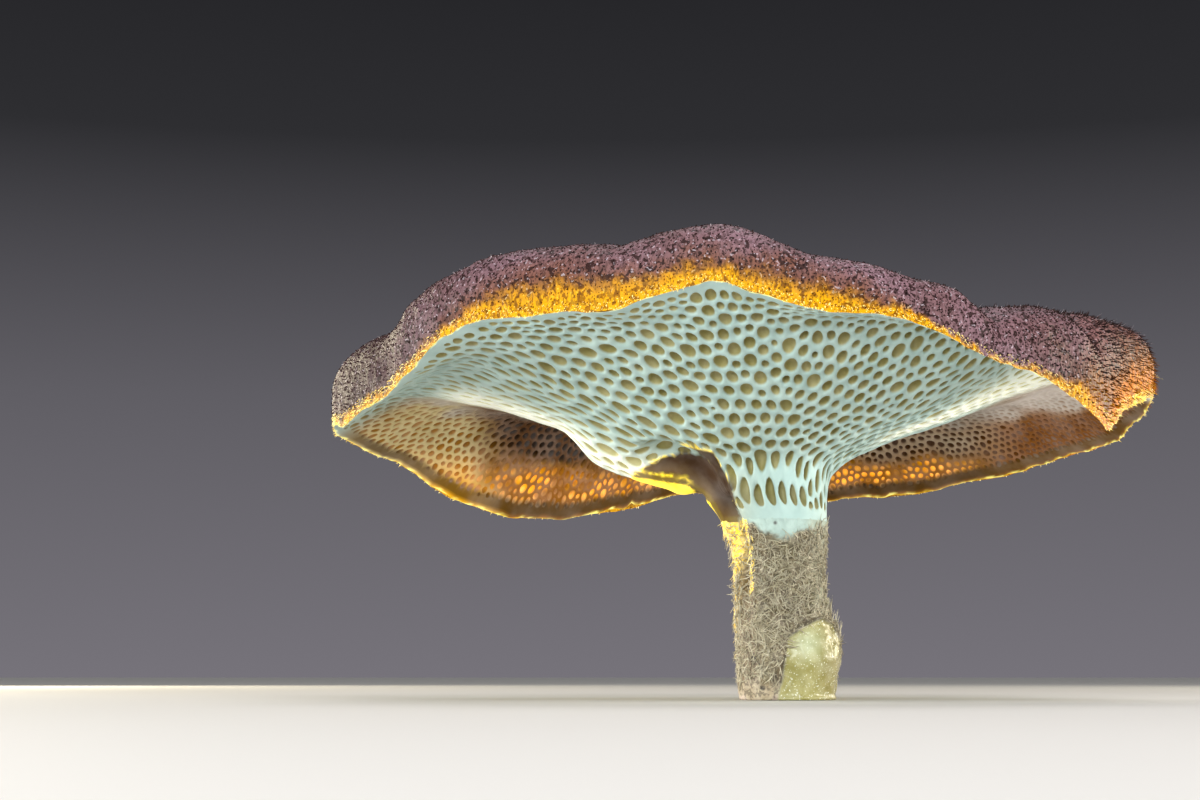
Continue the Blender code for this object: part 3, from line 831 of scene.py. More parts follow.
def make_tufts(name, start, end, pitch, seed, tall):
    """The small dark bristle tufts of the upper skin, with a few thin pale spikes among them as painted glints."""
    seeded = np.random.default_rng(seed)
    angle, along = scattered(SKIN, start, end, pitch, seed)
    roots, normals = SKIN.at(angle, along)
    roots = roots + normals * (skin_relief(roots, along) - 0.03)[:, None]
    kept = seeded.uniform(0, 1, len(roots)) < 0.88
    roots, normals, angle = roots[kept], normals[kept], angle[kept]
    count = len(roots)
    outward = np.stack([np.cos(angle), np.sin(angle), np.zeros(count)], axis=1)
    lobe = hump(turn_from(angle, -2.0), 30.0)
    leans = normals + 0.35 * outward + seeded.normal(0, 0.26, (count, 3)) - (0, 0, 0.25)
    leans = leans - lobe[:, None] * (0, 0, 0.5)
    # About one spike in twenty is thin and pale: a painted glint on the bristles
    light = seeded.uniform(0, 1, count) < 0.05
    lengths = tall * seeded.uniform(0.6, 1.35, count) * (1 + 2.6 * lobe) * np.where(light, 1.5, 1.0)
    widths = pitch * seeded.uniform(0.24, 0.42, count) * (1 - 0.62 * lobe) * np.where(light, 0.35, 1.0)
    values = {"backlit_gold": skin_values(roots)["backlit_gold"], "shade": seeded.uniform(0, 1, count), "light": light.astype(float)}
    return spikes(name, roots, leans, lengths, widths, values)


def make_edge_hairs():
    """Short hairs and teeth along the thin edge, coloured gold and glowing with painted backlight."""
    seeded = np.random.default_rng(51)
    count = 3000
    angle = (np.arange(count) + seeded.uniform(-0.5, 0.5, count)) / count * 2 * math.pi - math.pi
    along = 1.0 - 0.02 * seeded.uniform(0, 1, count) ** 1.5
    roots, normals = SKIN.at(angle, along)
    outward = np.stack([np.cos(angle), np.sin(angle), np.zeros(count)], axis=1)
    leans = 0.7 * outward + 0.2 * normals - (0, 0, 0.75) + seeded.normal(0, 0.3, (count, 3))
    lengths = 0.05 + 0.13 * seeded.uniform(0, 1, count) ** 3
    widths = 0.018 * seeded.uniform(0.7, 1.3, count)
    # Painted backlight glow, weaker on the front right
    values = {"shade": seeded.uniform(0, 1, count), "glow": 1 - 0.75 * hump(turn_from(angle, -52.0), 16.0)}
    return spikes("edge_hairs", roots, leans, lengths, widths, values)


STEM_TOP = 8.45
STEM_ROWS = 190

# The felt fibres start above the foot, so that none reaches below the cut
FELT_FOOT = 0.9


def stem_sheet():
    """The stem from the middle of the cut up its side to the middle of its top."""
    rows = []
    for share in (0.0, 0.35, 0.7, 0.93):
        rows.append((0.0, share))
    for height in np.linspace(0.02, STEM_TOP, STEM_ROWS - 7):
        rows.append((height, 1.0))
    for share in (0.9, 0.5, 0.0):
        rows.append((STEM_TOP, share))
    points = []
    for height, share in rows:
        tuck = 0.55 * smooth_step(PORE_FOOT + 0.04, PORE_FOOT + 0.40, height)
        foot = 0.06 * smooth_step(0.12, 0.0, height)
        radius = (stem_radius(ROUND, height) - tuck - foot) * share
        middle = float(stem_middle(height))
        points.append(np.stack([middle + radius * np.cos(ROUND), radius * np.sin(ROUND), np.full(TURNS, height)], axis=-1))
    points = np.array(points)
    return Sheet(points)


def pad_reach(points):
    """Distance in millimetres into the swollen foot pad, below zero outside it."""
    x, y, z = points[:, 0], points[:, 1], points[:, 2]
    left = np.interp(z, (0.0, 0.77, 1.75, 2.56, 3.0), (-0.5, -0.34, -0.19, -0.04, 0.5))
    top = np.interp(x, (-0.1, 0.0, 0.55, 1.0, 1.45, 1.9, 2.3), (1.8, 2.6, 3.0, 3.3, 3.46, 3.2, 2.3))
    return np.minimum(x - left, top - z) - 2.0 * smooth_step(0.2, 1.4, y) + 0.06 * lumps(points, 0.5, 61)


def felt_share(points):
    """One on the felted stem, none on its smooth white upper end."""
    border = np.interp(points[:, 0], (-1.9, -1.32, -0.68, 0.13, 0.47, 1.0, 1.37), (7.5, 7.3, 6.9, 6.75, 7.05, 7.2, 7.4))
    ragged = 0.16 * lumps(points, 0.35, 62) + 0.10 * lumps(points, 0.13, 63)
    return 1 - smooth_step(-0.15, 0.25, points[:, 2] - border + ragged)


def furrow_share(points):
    """How deep points lie in the furrow of the stem."""
    height = points[:, 2]
    angle = np.arctan2(points[:, 1], points[:, 0] - stem_middle(height))
    wide = FURROW_HALF_WIDTH * (0.6 + 0.4 * smooth_step(FURROW_FOOT, NECK_HEIGHT, height))
    return hump(turn_from(angle, FURROW_DIRECTION), wide) * smooth_step(FURROW_FOOT - 0.6, FURROW_FOOT + 1.2, height)


def stem_relief(points, along):
    felt = felt_share(points)
    pad = pad_reach(points)
    on_pad = smooth_step(-0.05, 0.15, pad)
    stretched = points * (1, 1, 0.35)
    grain = 0.05 * lumps(points, 0.17, 71) + 0.05 * lumps(stretched, 0.30, 72) + 0.04 * lumps(points, 0.6, 73)
    angle = np.arctan2(points[:, 1], points[:, 0] - stem_middle(points[:, 2]))
    ribs = 0.02 * np.cos(26 * angle + 2 * lumps(points, 1.0, 74)) * smooth_step(6.8, 7.8, points[:, 2])
    smooth_pad = 0.10 + 0.05 * lumps(points, 0.55, 75) + 0.02 * lumps(points, 0.2, 76)
    crack = 0.12 * hump(pad, 0.07) * smooth_step(0.3, 0.9, points[:, 2])
    rise = (1 - on_pad) * (grain * felt + ribs * (1 - felt)) + on_pad * smooth_pad - crack
    return rise * smooth_step(0.0, 0.25, points[:, 2]) * smooth_step(STEM_TOP, STEM_TOP - 0.5, points[:, 2])


def tone(red, green, blue):
    """A colour as seen on screen, from 0 to 255, for a shader socket."""
    return (*rgb(red, green, blue), 1.0)


class Board:
    """Nodes laid out in one tree."""

    def __init__(self, tree):
        self.tree = tree

    def add(self, kind, inputs=None, **settings):
        node = self.tree.nodes.new(kind)
        for key, value in settings.items():
            setattr(node, key, value)
        for key, value in (inputs or {}).items():
            self.feed(node.inputs[key], value)
        return node

    def feed(self, socket, value):
        if isinstance(value, bpy.types.NodeSocket):
            self.tree.links.new(value, socket)
        else:
            socket.default_value = value

    def share(self, name):
        return self.add("ShaderNodeAttribute", attribute_name=name).outputs["Fac"]

    def painted(self, name):
        return self.add("ShaderNodeAttribute", attribute_name=name).outputs["Color"]

    def steps(self, value, low, high):
        inputs = {"Value": value, "From Min": low, "From Max": high}
        return self.add("ShaderNodeMapRange", inputs, interpolation_type="SMOOTHSTEP").outputs["Result"]

    def mix(self, share, low, high, blend="MIX"):
        node = self.add("ShaderNodeMix", data_type="RGBA", blend_type=blend)
        self.feed(node.inputs[0], share)
        self.feed(node.inputs[6], low)
        self.feed(node.inputs[7], high)
        return node.outputs[2]

    def math(self, kind, a, b):
        return self.add("ShaderNodeMath", {0: a, 1: b}, operation=kind).outputs["Value"]

    def placed(self, group, **values):
        node = self.add("ShaderNodeGroup", node_tree=group)
        for key, value in values.items():
            self.feed(node.inputs[key.replace("_", " ")], value)
        return node.outputs[0]


def new_group(name, inputs, output):
    """An empty shader group with named inputs and one output; returns its board, entry and exit."""
    tree = bpy.data.node_groups.new(name, "ShaderNodeTree")
    for label, kind, value in inputs:
        socket = tree.interface.new_socket(label, in_out="INPUT", socket_type=kind)
        if value is not None:
            socket.default_value = value
    tree.interface.new_socket(output[0], in_out="OUTPUT", socket_type=output[1])
    board = Board(tree)
    entry = board.add("NodeGroupInput")
    leave = board.add("NodeGroupOutput")
    return board, entry.outputs, leave.inputs[0]


def grain_group():
    """Cloudy values from nothing to one over the piece, with lumps of a chosen size in millimetres."""
    inputs = [("Size", "NodeSocketFloat", 0.5), ("Detail", "NodeSocketFloat", 2.0), ("Stretch", "NodeSocketVector", (1, 1, 1))]
    board, given, out = new_group("flesh_grain", inputs, ("Grain", "NodeSocketFloat"))
    point = board.add("ShaderNodeTexCoord").outputs["Object"]
    stretched = board.add("ShaderNodeMapping", {"Vector": point, "Scale": given["Stretch"]}).outputs["Vector"]
    scale = board.math("DIVIDE", 1 / MM, given["Size"])
    noise = board.add("ShaderNodeTexNoise", {"Vector": stretched, "Scale": scale, "Detail": given["Detail"]})
    board.feed(out, noise.outputs["Fac"])
    return board.tree


def specks_group(grain):
    """A mask of small separate specks; a higher level leaves fewer."""
    inputs = [("Size", "NodeSocketFloat", 0.1), ("Level", "NodeSocketFloat", 0.6)]
    board, given, out = new_group("small_specks", inputs, ("Mask", "NodeSocketFloat"))
    value = board.placed(grain, Size=given["Size"], Detail=1.0)
    node = board.add("ShaderNodeMapRange", {"Value": value, "From Min": given["Level"]}, interpolation_type="SMOOTHSTEP")
    board.feed(node.inputs["From Max"], board.math("ADD", given["Level"], 0.07))
    board.feed(out, node.outputs["Result"])
    return board.tree


def glow_group():
    """The light that comes through thin flesh: its colour, held back by a share."""
    inputs = [("Colour", "NodeSocketColor", (1, 1, 1, 1)), ("Share", "NodeSocketFloat", 0.0)]
    board, given, out = new_group("light_through", inputs, ("Light", "NodeSocketColor"))
    board.feed(out, board.mix(given["Share"], (0, 0, 0, 1), given["Colour"]))
    return board.tree


def mottle_group(grain):
    """A colour made a little darker and lighter in clouds."""
    inputs = [("Colour", "NodeSocketColor", (1, 1, 1, 1)), ("Size", "NodeSocketFloat", 0.5), ("Strength", "NodeSocketFloat", 0.3)]
    board, given, out = new_group("mottled_colour", inputs, ("Colour", "NodeSocketColor"))
    cloud = board.steps(board.placed(grain, Size=given["Size"], Detail=3.0), 0.3, 0.7)
    dark = board.mix(given["Strength"], given["Colour"], (0, 0, 0, 1))
    light = board.mix(board.math("MULTIPLY", given["Strength"], 0.6), given["Colour"], (1, 1, 1, 1))
    board.feed(out, board.mix(cloud, dark, light))
    return board.tree


GRAIN = grain_group()
SPECKS = specks_group(GRAIN)
GLOW = glow_group()
MOTTLE = mottle_group(GRAIN)


class Finish(Board):
    """One material and the nodes that feed its shader."""

    def __init__(self, name, roughness=0.6):
        self.material = bpy.data.materials.new(name)
        self.material.use_nodes = True
        super().__init__(self.material.node_tree)
        self.shader = self.tree.nodes["Principled BSDF"]
        self.shader.inputs["Roughness"].default_value = roughness

    def set(self, **values):
        for key, value in values.items():
            self.feed(self.shader.inputs[key.replace("_", " ").title().replace("Ior", "IOR")], value)

    def glow(self, colour, share, strength):
        self.set(emission_color=self.placed(GLOW, Colour=colour, Share=share), emission_strength=strength)

    def bump(self, height, strength, distance):
        inputs = {"Height": height, "Strength": strength, "Distance": distance * MM}
        self.set(normal=self.add("ShaderNodeBump", inputs).outputs["Normal"])


def pored_finish():
    finish = Finish("pored_flesh", 0.45)
    pit = finish.steps(finish.share("pit"), 0.04, 0.34)
    wall = finish.placed(MOTTLE, Colour=finish.painted("wall_tone"), Size=1.3, Strength=0.10)
    deep = finish.placed(MOTTLE, Colour=finish.painted("pit_tone"), Size=0.9, Strength=0.16)
    colour = finish.mix(pit, wall, deep)
    finish.set(base_color=colour)
    finish.glow(colour, finish.share("glow"), 1.0)
    finish.set(specular_ior_level=0.15)
    finish.bump(finish.placed(GRAIN, Size=0.10, Detail=3.0), 0.20, 0.02)
    return finish.material


def skin_finish():
    finish = Finish("cap_skin_brown", 0.5)
    backlit_gold = finish.share("backlit_gold")
    lay = finish.add("ShaderNodeAttribute", attribute_name="lay").outputs["Vector"]
    combed = finish.add("ShaderNodeTexNoise", {"Vector": lay, "Scale": 9.0, "Detail": 2.0}).outputs["Fac"]
    tint = finish.painted("tone")
    dark = finish.mix(0.5, tint, tone(40, 22, 14))
    colour = finish.mix(finish.steps(combed, 0.38, 0.54), dark, tint)
    specks = finish.placed(SPECKS, Size=0.20, Level=0.545)
    # Where the backlit gold is painted, specks turn golden brown and glints turn yellow
    colour = finish.mix(finish.math("MULTIPLY", specks, finish.math("SUBTRACT", 0.9, finish.math("MULTIPLY", backlit_gold, 0.25))), colour, finish.mix(backlit_gold, tone(42, 24, 22), tone(92, 44, 0)))
    glints = finish.placed(SPECKS, Size=0.13, Level=0.64)
    glints = finish.math("MULTIPLY", glints, finish.math("SUBTRACT", 0.5, finish.math("MULTIPLY", backlit_gold, 0.2)))
    colour = finish.mix(glints, colour, finish.mix(backlit_gold, tone(206, 190, 200), tone(255, 214, 40)))
    finish.set(base_color=colour)
    finish.glow(colour, finish.share("glow"), 0.38)
    finish.set(specular_ior_level=0.12)
    finish.bump(combed, 0.8, 0.06)
    return finish.material


def tuft_finish():
    finish = Finish("dark_bristles", 0.8)
    finish.set(specular_ior_level=0.1)
    shade = finish.share("shade")
    dark = finish.mix(shade, tone(20, 10, 9), tone(64, 42, 40))
    # Tufts in the backlit band get a painted golden backlight colour
    backlit_gold = finish.mix(shade, tone(60, 28, 0), tone(190, 122, 4))
    colour = finish.mix(finish.share("backlit_gold"), dark, backlit_gold)
    # Pale spikes carry painted glints, and in the backlit band a painted glow
    colour = finish.mix(finish.share("light"), colour, finish.mix(finish.share("backlit_gold"), tone(196, 180, 184), tone(255, 224, 90)))
    finish.set(base_color=colour)
    finish.glow(colour, finish.math("MULTIPLY", finish.share("backlit_gold"), finish.share("light")), 0.3)
    return finish.material


def hair_finish():
    finish = Finish("backlit_golden_hairs", 0.4)
    # Gold colour and glow of the edge hairs stand for painted backlight
    colour = finish.mix(finish.share("shade"), tone(236, 190, 30), tone(255, 244, 160))
    colour = finish.placed(MOTTLE, Colour=colour, Size=0.4, Strength=0.2)
    finish.set(base_color=colour)
    finish.glow(colour, finish.share("glow"), 0.9)
    return finish.material


def stem_finish():
    finish = Finish("stem_felt_and_pad", 0.6)
    tint = finish.painted("tone")
    felt = finish.share("felt")
    pad = finish.share("pad")
    fine = finish.placed(GRAIN, Size=0.12, Detail=3.0, Stretch=(1, 1, 0.6))
    colour = finish.placed(MOTTLE, Colour=tint, Size=0.5, Strength=0.18)
    dark = finish.math("MULTIPLY", finish.placed(SPECKS, Size=0.17, Level=0.50), finish.math("MULTIPLY", felt, 0.55))
    colour = finish.mix(dark, colour, tone(62, 50, 34))
    pale = finish.math("MULTIPLY", finish.placed(SPECKS, Size=0.10, Level=0.58), finish.math("MULTIPLY", felt, 0.5))
    colour = finish.mix(pale, colour, tone(206, 196, 164))
    # Near-white specks on the pad: painted glints of its wet sheen
    pad_glints = finish.math("MULTIPLY", finish.placed(SPECKS, Size=0.07, Level=0.64), pad)
    colour = finish.mix(pad_glints, colour, tone(246, 248, 226))
    finish.set(base_color=colour)
    wet = finish.add("ShaderNodeMapRange", {"Value": pad, "To Min": 0.75, "To Max": 0.18}).outputs["Result"]
    finish.set(roughness=wet)
    finish.glow(colour, finish.share("glow"), 1.0)
    finish.bump(fine, 0.6, 0.05)
    return finish.material


def fibre_finish():
    finish = Finish("felt_fibres", 0.6)
    shade = finish.share("shade")
    colour = finish.mix(shade, tone(150, 134, 104), tone(222, 210, 180))
    # Backlit fibres take a painted golden colour and a painted backlight glow
    colour = finish.mix(finish.share("backlit_gold"), colour, finish.mix(shade, tone(230, 180, 30), tone(255, 238, 130)))
    colour = finish.placed(MOTTLE, Colour=colour, Size=0.3, Strength=0.2)
    finish.set(base_color=colour)
    finish.glow(colour, finish.share("backlit_gold"), 0.8)
    return finish.material


def set_values(obj, values):
    """Writes values, colours or vectors on the points of a piece."""
    for key, value in values.items():
        value = np.asarray(value, float)
        if value.ndim == 1:
            obj.data.attributes.new(key, "FLOAT", "POINT").data.foreach_set("value", value)
        elif key == "lay":
            obj.data.attributes.new(key, "FLOAT_VECTOR", "POINT").data.foreach_set("vector", value.ravel())
        else:
            full = np.concatenate([np.clip(value, 0, 1), np.ones((len(value), 1))], axis=1)
            obj.data.attributes.new(key, "FLOAT_COLOR", "POINT").data.foreach_set("color", full.ravel())


def pored_values(obj):
    """Colours of the pore walls and pits, from pale flesh near the viewer to painted backlight gold and painted shade
    at the far margin.
    """
    points = vertex_places(obj) / MM
    x, y, z = points.T
    along = np.empty(len(points))
    obj.data.attributes["along"].data.foreach_get("value", along)
    bare = np.empty(len(points))
    obj.data.attributes["bare"].data.foreach_get("value", bare)
    pit = np.empty(len(points))
    obj.data.attributes["pit"].data.foreach_get("value", pit)
    way = along * PORE_WAY
    soft = lumps(points, 1.2, 81)
    small = lumps(points, 0.55, 82)
    z = z + 0.3 * soft
    behind = smooth_step(-0.5, 3.0, y)
    # Far inner side: brown and orange in place of pale flesh, painted backlight through the flesh and painted shade
    inner = behind * smooth_step(0.42, 0.72, along + 0.03 * soft)
    left = 1 - smooth_step(-15.6, -13.4, x + 0.5 * soft)
    right = smooth_step(0.5, 2.5, x)
    low = 1 - smooth_step(10.6, 11.9, z)
    shadow = inner * smooth_step(-15.6, -13.2, x + 0.4 * soft) * (1 - smooth_step(-9.0, -4.0, x))
    shadow = shadow * smooth_step(10.8, 11.7, z) * (1 - smooth_step(13.2, 13.7, z))
    # Far right: orange-brown with a glow, painted backlight
    backlit_plain = inner * right * smooth_step(8.5, 11.5, x + 0.8 * soft)
    # Orange band with glowing spots on the far margin: painted backlight shining through the pores
    backlight_band = inner * low * (1 - left) * (1 - backlit_plain)
    right_backlight_band = inner * right * (1 - smooth_step(11.2, 12.2, z)) * (1 - smooth_step(8.5, 10.5, x))
    # Dark band on the sterile margin just inside the rim of the far side: painted shade
    rim_shade = behind * smooth_step(PORE_WAY - 0.75, PORE_WAY - 0.48, way) * (1 - smooth_step(PORE_WAY - 0.20, PORE_WAY - 0.10, way))
    grains = lumps(points, 0.16, 84)
    # Bright yellow line along the thin edge: painted backlight, glowing
    rim = smooth_step(PORE_WAY - 0.09, PORE_WAY - 0.04, way + 0.03 * grains)
    # Far left margin: gold of painted backlight, glowing
    left_backlight_gold = inner * left * (1 - smooth_step(9.6, 12.2, z))
    top_pale = inner * smooth_step(12.9, 13.5, z)
    veil = inner * right * hump(z - 12.6, 0.6) * (1 - smooth_step(8.5, 11.0, x))
    backlit_edge_gold = painted(np.broadcast_to(rgb(214, 176, 20), points.shape), [(smooth_step(-0.2, 0.5, grains), rgb(255, 246, 130))])
    direction, _ = around_axis(points)
    # Near-white glowing walls along the funnel's silhouette: painted highlight of the light grazing it
    contour_highlight = hump(turn_from(direction, -178.0), 12.0) * smooth_step(2.0, 4.5, way) * (1 - smooth_step(11.5, 13.5, way))
    contour_highlight = contour_highlight + hump(turn_from(direction, -3.0), 7.0 + 7.0 * smooth_step(6.0, 12.0, way)) * smooth_step(3.0, 6.0, way)
    contour_highlight = np.clip(contour_highlight, 0, 1) * (1 - smooth_step(0.6, 2.4, y))
    foot_shade = hump(x + 2.4, 1.1) * (1 - smooth_step(9.0, 10.2, z)) * (1 - behind)
    low_neck = 1 - smooth_step(0.4, 2.4, way)
    low_neck = low_neck * (1 - behind)
    plain_z = points[:, 2]
    foot_line = np.interp(x, (-7.4, -6.1, -4.3, -3.3, -2.7), (9.75, 9.45, 9.20, 8.40, 7.40))
    above = plain_z - foot_line + 0.05 * small
    # Thin bright yellow lines along the web and the hollow's roof: painted backlight, glowing
    backlit_web_line = bare * np.maximum(1 - smooth_step(0.05, 0.11, above), 0.9 * hump(above - 0.34, 0.045) * (x < -4.0))
    roof = np.interp(x, (-7.2, -6.1, -5.2, -4.3, -3.0, -2.45, -1.9), (9.4, 10.0, 10.45, 10.6, 10.3, 9.3, 7.5))
    backlit_web_line = np.maximum(backlit_web_line, hump(plain_z - roof - 0.03, 0.045) * (bare > 0.01) * 0.9)
    # Bare hollow under the funnel: brown tissue, darkened higher up by painted shade, olive gold along its lower edge
    hollow = painted(
        np.broadcast_to(rgb(96, 68, 24), points.shape),
        [
            (smooth_step(0.3, 1.2, above), rgb(62, 38, 16)),
            (0.8 * (1 - smooth_step(0.30, 0.5, above)), rgb(124, 100, 20)),
        ],
    )
    wall = painted(
        np.broadcast_to(rgb(184, 212, 208), points.shape),
        [
            (0.5 * smooth_step(-0.3, 0.5, small), rgb(204, 228, 222)),
            (0.5 * foot_shade, rgb(160, 152, 128)),
            (inner, rgb(168, 120, 62)),
            (inner * left, rgb(206, 188, 136)),
            (left_backlight_gold, rgb(214, 150, 6)),
            (0.9 * top_pale, rgb(192, 184, 176)),
            (shadow, rgb(88, 54, 20)),
            (0.95 * backlight_band, rgb(142, 84, 0)),
            (0.97 * backlit_plain * (1 - top_pale), rgb(118, 68, 6)),
            (0.6 * veil, rgb(206, 196, 178)),
            (0.95 * right_backlight_band, rgb(148, 90, 0)),
            (0.9 * rim_shade, rgb(88, 60, 6)),
            (0.9 * contour_highlight, rgb(250, 250, 232)),
            (bare, hollow),
            (backlit_web_line, rgb(246, 214, 40)),
            (rim, backlit_edge_gold),
        ],
    )
    deep = painted(
        np.broadcast_to(rgb(162, 152, 92), points.shape),
        [
            (0.6 * smooth_step(-0.4, 0.6, soft), rgb(184, 174, 114)),
            (0.5 * low_neck, rgb(112, 104, 60)),
            (inner, rgb(108, 64, 14)),
            (inner * left, rgb(174, 120, 24)),
            (left_backlight_gold, rgb(186, 112, 0)),
            (0.9 * top_pale, rgb(150, 122, 92)),
            (shadow, rgb(50, 28, 4)),
            (0.95 * backlight_band, rgb(244, 168, 24)),
            (0.97 * backlit_plain * (1 - top_pale), rgb(98, 54, 2)),
            (0.95 * right_backlight_band, rgb(250, 176, 10)),
            (0.9 * rim_shade, rgb(88, 60, 6)),
            (0.35 * contour_highlight, rgb(214, 206, 150)),
            (bare, hollow),
            (backlit_web_line, rgb(246, 214, 40)),
            (rim, backlit_edge_gold),
        ],
    )
    # Painted glow of the backlight: spots in the pits, the far margin, the rim, the web and the contour
    dots = smooth_step(-0.6, 0.15, lumps(points, 0.7, 83))
    backlight_spots = np.maximum(backlight_band, right_backlight_band) * (1 - rim_shade)
    glow = 0.40 * left_backlight_gold + backlight_spots * (0.34 + 0.66 * dots * smooth_step(0.25, 0.8, pit))
    glow = np.maximum(glow, np.maximum(0.42 * backlit_plain, 0.22 * shadow))
    glow = np.maximum(glow * (1 - bare) + 0.10 * bare, np.maximum(rim * smooth_step(-0.7, 0.3, grains), backlit_web_line))
    glow = np.clip(glow + 0.14 * inner * left + 0.35 * contour_highlight, 0, 1)
    fade = np.maximum(backlight_band, right_backlight_band) * (1 - dots) * 0.75
    deep = deep + (wall - deep) * fade[:, None]
    set_values(obj, {"wall_tone": wall, "pit_tone": deep, "glow": glow})


def skin_lay(obj):
    """Coordinates in which noise looks combed outward, in millimetres round and outward."""
    points = vertex_places(obj) / MM
    angle, _ = around_axis(points)
    along = np.empty(len(points))
    obj.data.attributes["along"].data.foreach_get("value", along)
    lengths = np.linalg.norm(np.diff(SKIN.points, axis=0), axis=-1).mean(axis=1)
    out = np.interp(along, np.linspace(0, 1, SKIN.rows), np.concatenate([[0], np.cumsum(lengths)]))
    radius = 4.0 + 12.0 * smooth_step(0.0, 0.6, along)
    return np.stack([radius * np.cos(angle), radius * np.sin(angle), 0.38 * out], axis=1)


def stem_values(points):
    """Colour, painted backlight glow, felt and wetness of the stem at points, with painted shade on its left side, in
    the furrow and on the pad's right.
    """
    x, y, z = points.T
    pad_way = pad_reach(points)
    pad = smooth_step(-0.05, 0.12, pad_way)
    felt = felt_share(points) * (1 - pad)
    angle = np.arctan2(y, x - stem_middle(z))
    small = lumps(points, 0.5, 91)
    furrow = furrow_share(points)
    # Bright yellow glowing strips on the left edges of the stem and furrow: painted backlight
    backlit_left_edge = hump(turn_from(angle, 176.0), 15.0) * smooth_step(2.0, 2.6, z) + hump(turn_from(angle, -170.0), 9.0) * smooth_step(5.0, 6.4, z)
    right_edge = smooth_step(1.15, 1.75, x - stem_middle(z)) * smooth_step(3.4, 4.4, z)
    foot = (1 - smooth_step(0.3, 1.0, z + 0.3 * small)) * (1 - pad)
    # Painted shade: the stem's left side is coloured greyer and, on the felt, mauve-brown
    shaded_left_side = 1 - smooth_step(-1.5, -0.9, x - stem_middle(z))
    heart = hump(x - 0.85, 0.55) * hump(z - 2.35, 0.62) * (y < 0)
    crack = hump(pad_way, 0.07) * smooth_step(0.3, 0.9, z)
    pits = np.zeros(len(points))
    for px, pz, wide, high in ((-1.45, 1.72, 0.14, 0.24), (-1.10, 0.52, 0.13, 0.10), (-0.40, 8.28, 0.10, 0.11), (-0.48, 7.42, 0.08, 0.08)):
        pits = np.maximum(pits, (y < 0) * np.exp(-(((x - px) / wide) ** 2 + ((z - pz) / high) ** 2) ** 2))
    tone_here = painted(
        np.broadcast_to(rgb(188, 212, 204), points.shape),
        [
            (0.6 * shaded_left_side * (1 - felt), rgb(150, 148, 124)),
            (felt, rgb(118, 100, 70)),
            (0.5 * felt * smooth_step(-0.2, 0.6, lumps(points, 1.3, 92)), rgb(122, 112, 70)),
            (0.75 * felt * shaded_left_side, rgb(150, 128, 104)),
            (0.6 * right_edge * (1 - pad), rgb(186, 190, 166)),
            (0.9 * foot, rgb(188, 168, 138)),
            (0.6 * foot * smooth_step(0.0, 0.6, small), rgb(214, 190, 180)),
            # Darker olive-brown in the furrow: painted shade in the groove
            (0.9 * furrow, rgb(112, 84, 34)),
            (pad, rgb(176, 166, 96)),
            # Painted shade: the pad is darker on its right side
            (0.5 * pad * smooth_step(0.9, 1.8, x), rgb(150, 136, 84)),
            # Paler centre of the pad: its pale flesh, brightened further as a painted sheen of its glistening surface
            (0.85 * pad * heart, rgb(214, 218, 176)),
            (0.8 * crack, rgb(74, 56, 28)),
            (0.95 * np.clip(backlit_left_edge, 0, 1), rgb(246, 204, 40)),
            (0.95 * pits, rgb(44, 28, 14)),
        ],
    )
    glow = np.clip(backlit_left_edge, 0, 1) * 0.85 * smooth_step(-0.5, 0.3, lumps(points, 0.25, 93) + 0.4)
    return {"tone": tone_here, "glow": glow, "felt": felt, "pad": pad}


def strands(name, starts, leads, bends, lengths, widths, values, steps=3):
    """Closed three-sided threads that start at points, run along leads and curve towards bends."""
    points = []
    shares = np.linspace(0.0, 1.0, steps + 1)
    for share in shares:
        middle = starts + leads * (lengths * share)[:, None] + bends * (lengths * share * share)[:, None]
        ahead = leads + 2 * share * bends
        ahead = ahead / np.linalg.norm(ahead, axis=1, keepdims=True)
        helper = np.where(np.abs(ahead[:, 2:]) < 0.9, (0.0, 0.0, 1.0), (1.0, 0.0, 0.0))
        side = np.cross(ahead, helper)
        side = side / np.linalg.norm(side, axis=1, keepdims=True)
        other = np.cross(ahead, side)
        thick = widths * (1 - 0.75 * share**2)
        for turn in (0.0, 2 * math.pi / 3, 4 * math.pi / 3):
            points.append(middle + thick[:, None] * (math.cos(turn) * side + math.sin(turn) * other))
    points = np.stack(points, axis=1).reshape(-1, 3)
    faces = [(2, 1, 0)]
    for step in range(steps):
        for k in range(3):
            a, b = 3 * step + k, 3 * step + (k + 1) % 3
            faces += [(a, b, b + 3), (a, b + 3, a + 3)]
    last = 3 * steps
    faces.append((last, last + 1, last + 2))
    per = 3 * (steps + 1)
    loops = (np.array(faces)[None] + per * np.arange(len(starts))[:, None, None]).ravel()
    piece = mesh_piece(name, points, loops, np.full(len(faces) * len(starts), 3))
    set_values(piece, {key: np.repeat(value, per) for key, value in values.items()})
    return piece


